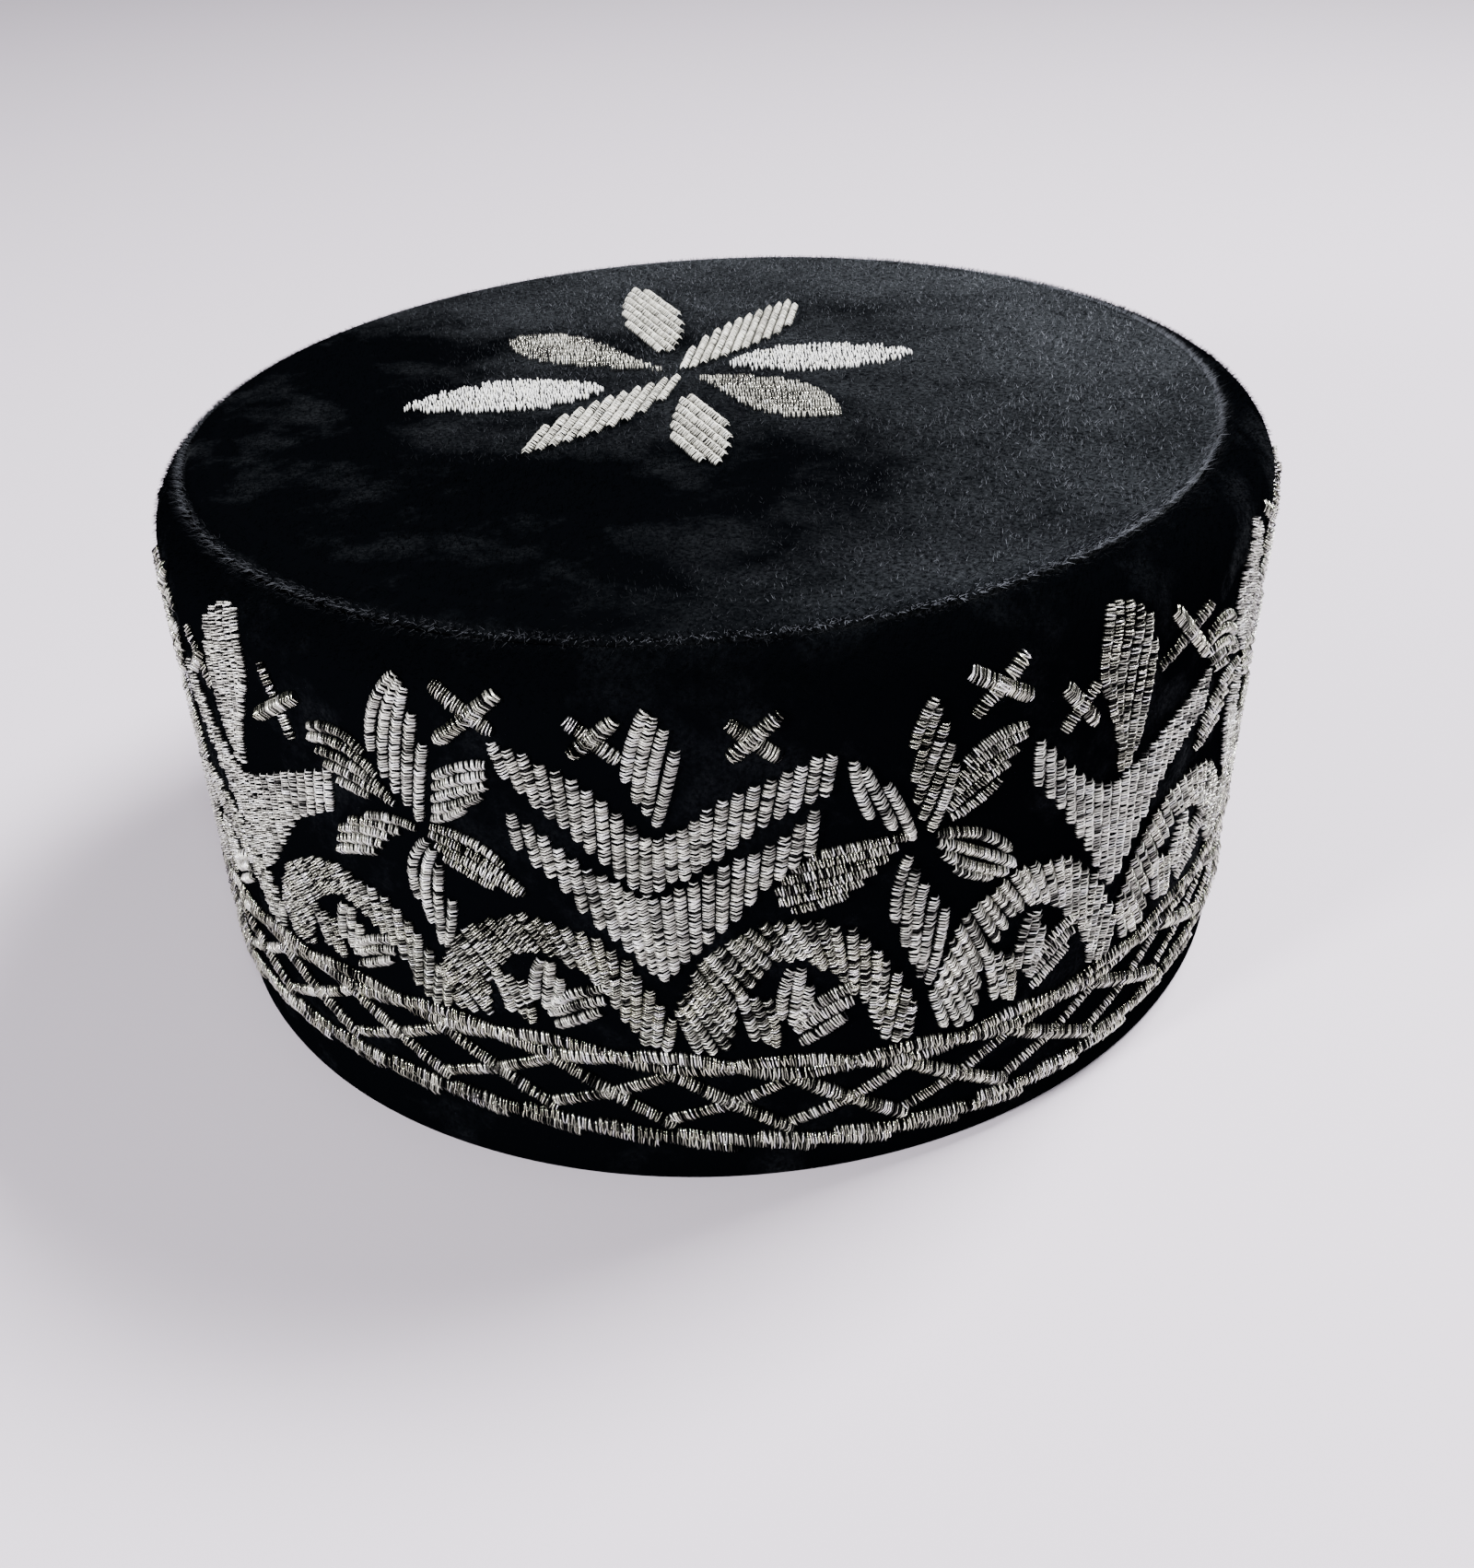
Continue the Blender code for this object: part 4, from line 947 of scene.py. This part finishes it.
# A stroke is its first column and row, then its last, with the one that lies under first
CROSS_STROKES = [
    (-11.8, 79.6, -5.0, 74.0), (-11.5, 74.5, -5.3, 79.9),
    (9.0, 79.2, 16.0, 73.5), (9.3, 74.0, 16.0, 80.0),
    (-30.5, 82.5, -22.0, 77.0), (-30.2, 74.5, -21.0, 82.5),
    (42.0, 81.5, 52.0, 75.5), (43.0, 75.0, 50.8, 82.0),
    (58.0, 75.0, 64.5, 67.5), (58.3, 68.2, 63.8, 73.8),
]
EVEN_CROSS = [(79.8, 79.2, 91.5, 68.0), (77.3, 71.3, 90.0, 76.5)]
ODD_CROSS = [(82.2, 78.2, 86.4, 67.4), (79.0, 68.7, 89.6, 75.3)]
ribs = []
for repeat in range(REPEATS):
    start = repeat * CHART_COLUMNS
    strokes = CROSS_STROKES + (ODD_CROSS if repeat % 2 else EVEN_CROSS)
    for place, (column, row, end_column, end_row) in enumerate(strokes):
        line = [(start + column, row), (start + end_column, end_row)]
        rise = OVER_RISE if place % 2 else UNDER_RISE
        ribs.append((line, CROSS_WIDTH, rise, CROSS_SHINE))
crosses = stitched("thread_crosses", ribs, chart_to_band, 18)
finish_thread(crosses, SILVER, [])

# Crown star: eight separate petals sewn to the crown panel. Two opposite ones are white
# satin, two are grey and woven in close rows, and four are matte ivory ribs.
STAR_X = -9.8 * MM
STAR_Y = 2.1 * MM
STAR_TURN = math.radians(41.0)
STAR_SQUARE = 1.0 * MM
IVORY_MATTE = (0.60, 0.585, 0.53, 1.0)
IVORY_BRIGHT = (0.50, 0.49, 0.44, 1.0)
SATIN_WHITE = (0.98, 0.97, 0.88, 1.0)
# A petal is its outline, its ribs' lean in degrees, how bright they are, their spacing and
# its kind of thread. The outline is base, tip, and each side's bulge with where it is widest
STAR_PETALS = [
    ("north", (-2.8, 11.0, -10.7, 53.5, 4.6, 0.50, 5.2, 0.50), 112.0, 0.0, 1.7, "ribs"),
    ("north_east", (0.2, 1.6, 19.0, 41.0, 4.7, 0.42, 6.2, 0.60), 83.0, 0.0, 1.55, "ribs"),
    ("east", (7.6, 4.2, 40.0, 8.8, 7.0, 0.42, 6.0, 0.52), 4.0, 0.15, 1.8, "satin"),
    ("south_east", (2.4, -2.0, 26.0, -21.6, 7.6, 0.52, 6.2, 0.66), 0.0, 0.6, 1.9, "ribs"),
    ("south", (0.6, -10.4, 6.6, -42.0, 4.3, 0.50, 4.6, 0.60), 114.0, 0.0, 1.7, "ribs"),
    ("south_west", (-0.8, -1.0, -23.6, -34.5, 5.4, 0.45, 4.4, 0.62), 78.0, 0.0, 1.65, "ribs"),
    ("west", (-12.7, -5.4, -45.6, -12.0, 6.6, 0.40, 7.6, 0.50), 4.0, 0.15, 1.8, "satin"),
    ("north_west", (-2.6, 2.0, -32.0, 22.8, 6.4, 0.62, 6.8, 0.70), 0.0, 0.6, 1.9, "ribs"),
]
SATIN_SCATTER = 0.7
SHORTEST_RIB = 1.2
OUTLINE_STEPS = 16


def chart_to_crown(column, row, lift):
    """Place on the crown panel of a point of the star's chart, lifted off by so much."""
    x = STAR_SQUARE * (column * math.cos(STAR_TURN) - row * math.sin(STAR_TURN))
    y = STAR_SQUARE * (column * math.sin(STAR_TURN) + row * math.cos(STAR_TURN))
    return crown_place(STAR_X + x, STAR_Y + y, lift)


def side_bulge(share, bulge, widest):
    """How far a petal's side stands out at a share of its length."""
    warped = share ** (math.log(0.5) / math.log(widest))
    return bulge * max(math.sin(math.pi * warped), 0.0) ** 0.8


def lens_outline(lens):
    """Outline of a petal, from its base to its tip and back."""
    base_column, base_row, tip_column, tip_row, left, left_at, right, right_at = lens
    length = math.hypot(tip_column - base_column, tip_row - base_row)
    along_x = (tip_column - base_column) / length
    along_y = (tip_row - base_row) / length
    right_side = []
    left_side = []
    for step in range(OUTLINE_STEPS + 1):
        share = step / OUTLINE_STEPS
        x = base_column + along_x * length * share
        y = base_row + along_y * length * share
        out = side_bulge(share, right, right_at)
        right_side.append((x + along_y * out, y - along_x * out))
        out = side_bulge(share, left, left_at)
        left_side.append((x - along_y * out, y + along_x * out))
    return right_side + left_side[-2:0:-1]


def ribs_inside(outline, lean, shine, spacing):
    """Ribs side by side at this lean, from edge to edge of an outline on the chart."""
    along = np.array([math.cos(math.radians(lean)), math.sin(math.radians(lean))])
    across = np.array([-along[1], along[0]])
    points = np.array(outline)
    ends = points @ along
    levels = points @ across
    count = max(1, round((levels.max() - levels.min()) / spacing))
    step = (levels.max() - levels.min()) / count
    found = []
    for number in range(count):
        level = levels.min() + (number + 0.5) * step
        crossings = []
        for here in range(len(points)):
            after = (here + 1) % len(points)
            if (levels[here] - level) * (levels[after] - level) < 0.0:
                share = (level - levels[here]) / (levels[after] - levels[here])
                crossings.append(ends[here] + (ends[after] - ends[here]) * share)
        crossings.sort()
        for first, last in zip(crossings[::2], crossings[1::2]):
            if last - first > SHORTEST_RIB:
                line = [along * first + across * level, along * last + across * level]
                found.append((line, step * RIB_LAP, RIB_RISE, shine))
    return found


IVORY = thread_material("ivory_thread", IVORY_MATTE, IVORY_BRIGHT, 0.45, 0.2)
SATIN = thread_material("satin_thread", SATIN_WHITE, SATIN_WHITE, 0.9, 0.0)
ribs = {"ribs": [], "satin": []}
star_nodes = {"ribs": [], "satin": []}
for label, petal, lean, shine, spacing, kind in STAR_PETALS:
    ribs[kind] += ribs_inside(lens_outline(petal), lean, shine, spacing)
    star_nodes[kind].append(f"star_petal_{label}")
star = stitched("crown_star_ribs", ribs["ribs"], chart_to_crown, 19)
finish_thread(star, IVORY, star_nodes["ribs"])
satin = stitched("crown_star_satin", ribs["satin"], chart_to_crown, 20, SATIN_SCATTER)
finish_thread(satin, SATIN, star_nodes["satin"])

# Floor: a plain pale studio floor under the cap. It isn't part of the cap, so it is staged
# and rides on nothing.
FLOOR_SIZE = 8.0
FLOOR_COLOUR = (0.71, 0.64, 0.735, 1.0)
bpy.ops.object.select_all(action="DESELECT")
bpy.ops.mesh.primitive_plane_add(size=FLOOR_SIZE, location=(0.0, 0.0, 0.0))
floor = bpy.context.object
floor.name = "studio_floor"
floor_material = bpy.data.materials.new("pale_floor")
floor_material.use_nodes = True
floor_shader = floor_material.node_tree.nodes["Principled BSDF"]
floor_shader.inputs["Base Color"].default_value = FLOOR_COLOUR
floor_shader.inputs["Roughness"].default_value = 0.75
floor.data.materials.append(floor_material)

# Lights: a soft window light high behind the cap on its right, which throws the shadow to
# the front left, and two small lamps in front, which make the thread glint.
WORLD_TINT = (0.82, 0.83, 0.90, 1.0)
WORLD_STRENGTH = 0.12
world = bpy.data.worlds.new("studio")
world.use_nodes = True
world.node_tree.nodes["Background"].inputs["Color"].default_value = WORLD_TINT
world.node_tree.nodes["Background"].inputs["Strength"].default_value = WORLD_STRENGTH
bpy.context.scene.world = world
LAMPS = [
    ("window", (0.213, 0.747, 1.12), 0.5, 22.0, 110.0),
    ("front_lamp", (0.95, -0.75, 1.15), 0.3, 13.0, 180.0),
    ("glint_lamp", (-0.1, -1.05, 0.42), 0.16, 21.0, 180.0),
]
for name, spot, size, power, spread in LAMPS:
    bpy.ops.object.light_add(type="AREA", location=spot)
    lamp = bpy.context.object
    lamp.name = name
    lamp.data.size = size
    lamp.data.energy = power
    lamp.data.spread = math.radians(spread)
    lamp.rotation_euler = Vector(spot).to_track_quat("Z", "Y").to_euler()

# Camera: where the photo was taken from, close to the cap and looking down on it. Its
# place, lens and slight roll come from the fit to the cap's outline in the photo.
CAMERA_PLACE = (0.2081, -0.2270, 0.2125)
CAMERA_TURN = math.radians(42.23)
CAMERA_DIP = math.radians(32.82)
CAMERA_ROLL = math.radians(-1.53)
CAMERA_LENS = 44.99
bpy.ops.object.camera_add()
camera = bpy.context.object
camera.matrix_world = (
    Matrix.Translation(CAMERA_PLACE)
    @ Matrix.Rotation(CAMERA_TURN, 4, "Z")
    @ Matrix.Rotation(math.pi / 2 - CAMERA_DIP, 4, "X")
    @ Matrix.Rotation(CAMERA_ROLL, 4, "Z")
)
camera.data.lens = CAMERA_LENS
camera.data.sensor_width = 36.0
camera.data.clip_start = 0.01
bpy.context.scene.camera = camera
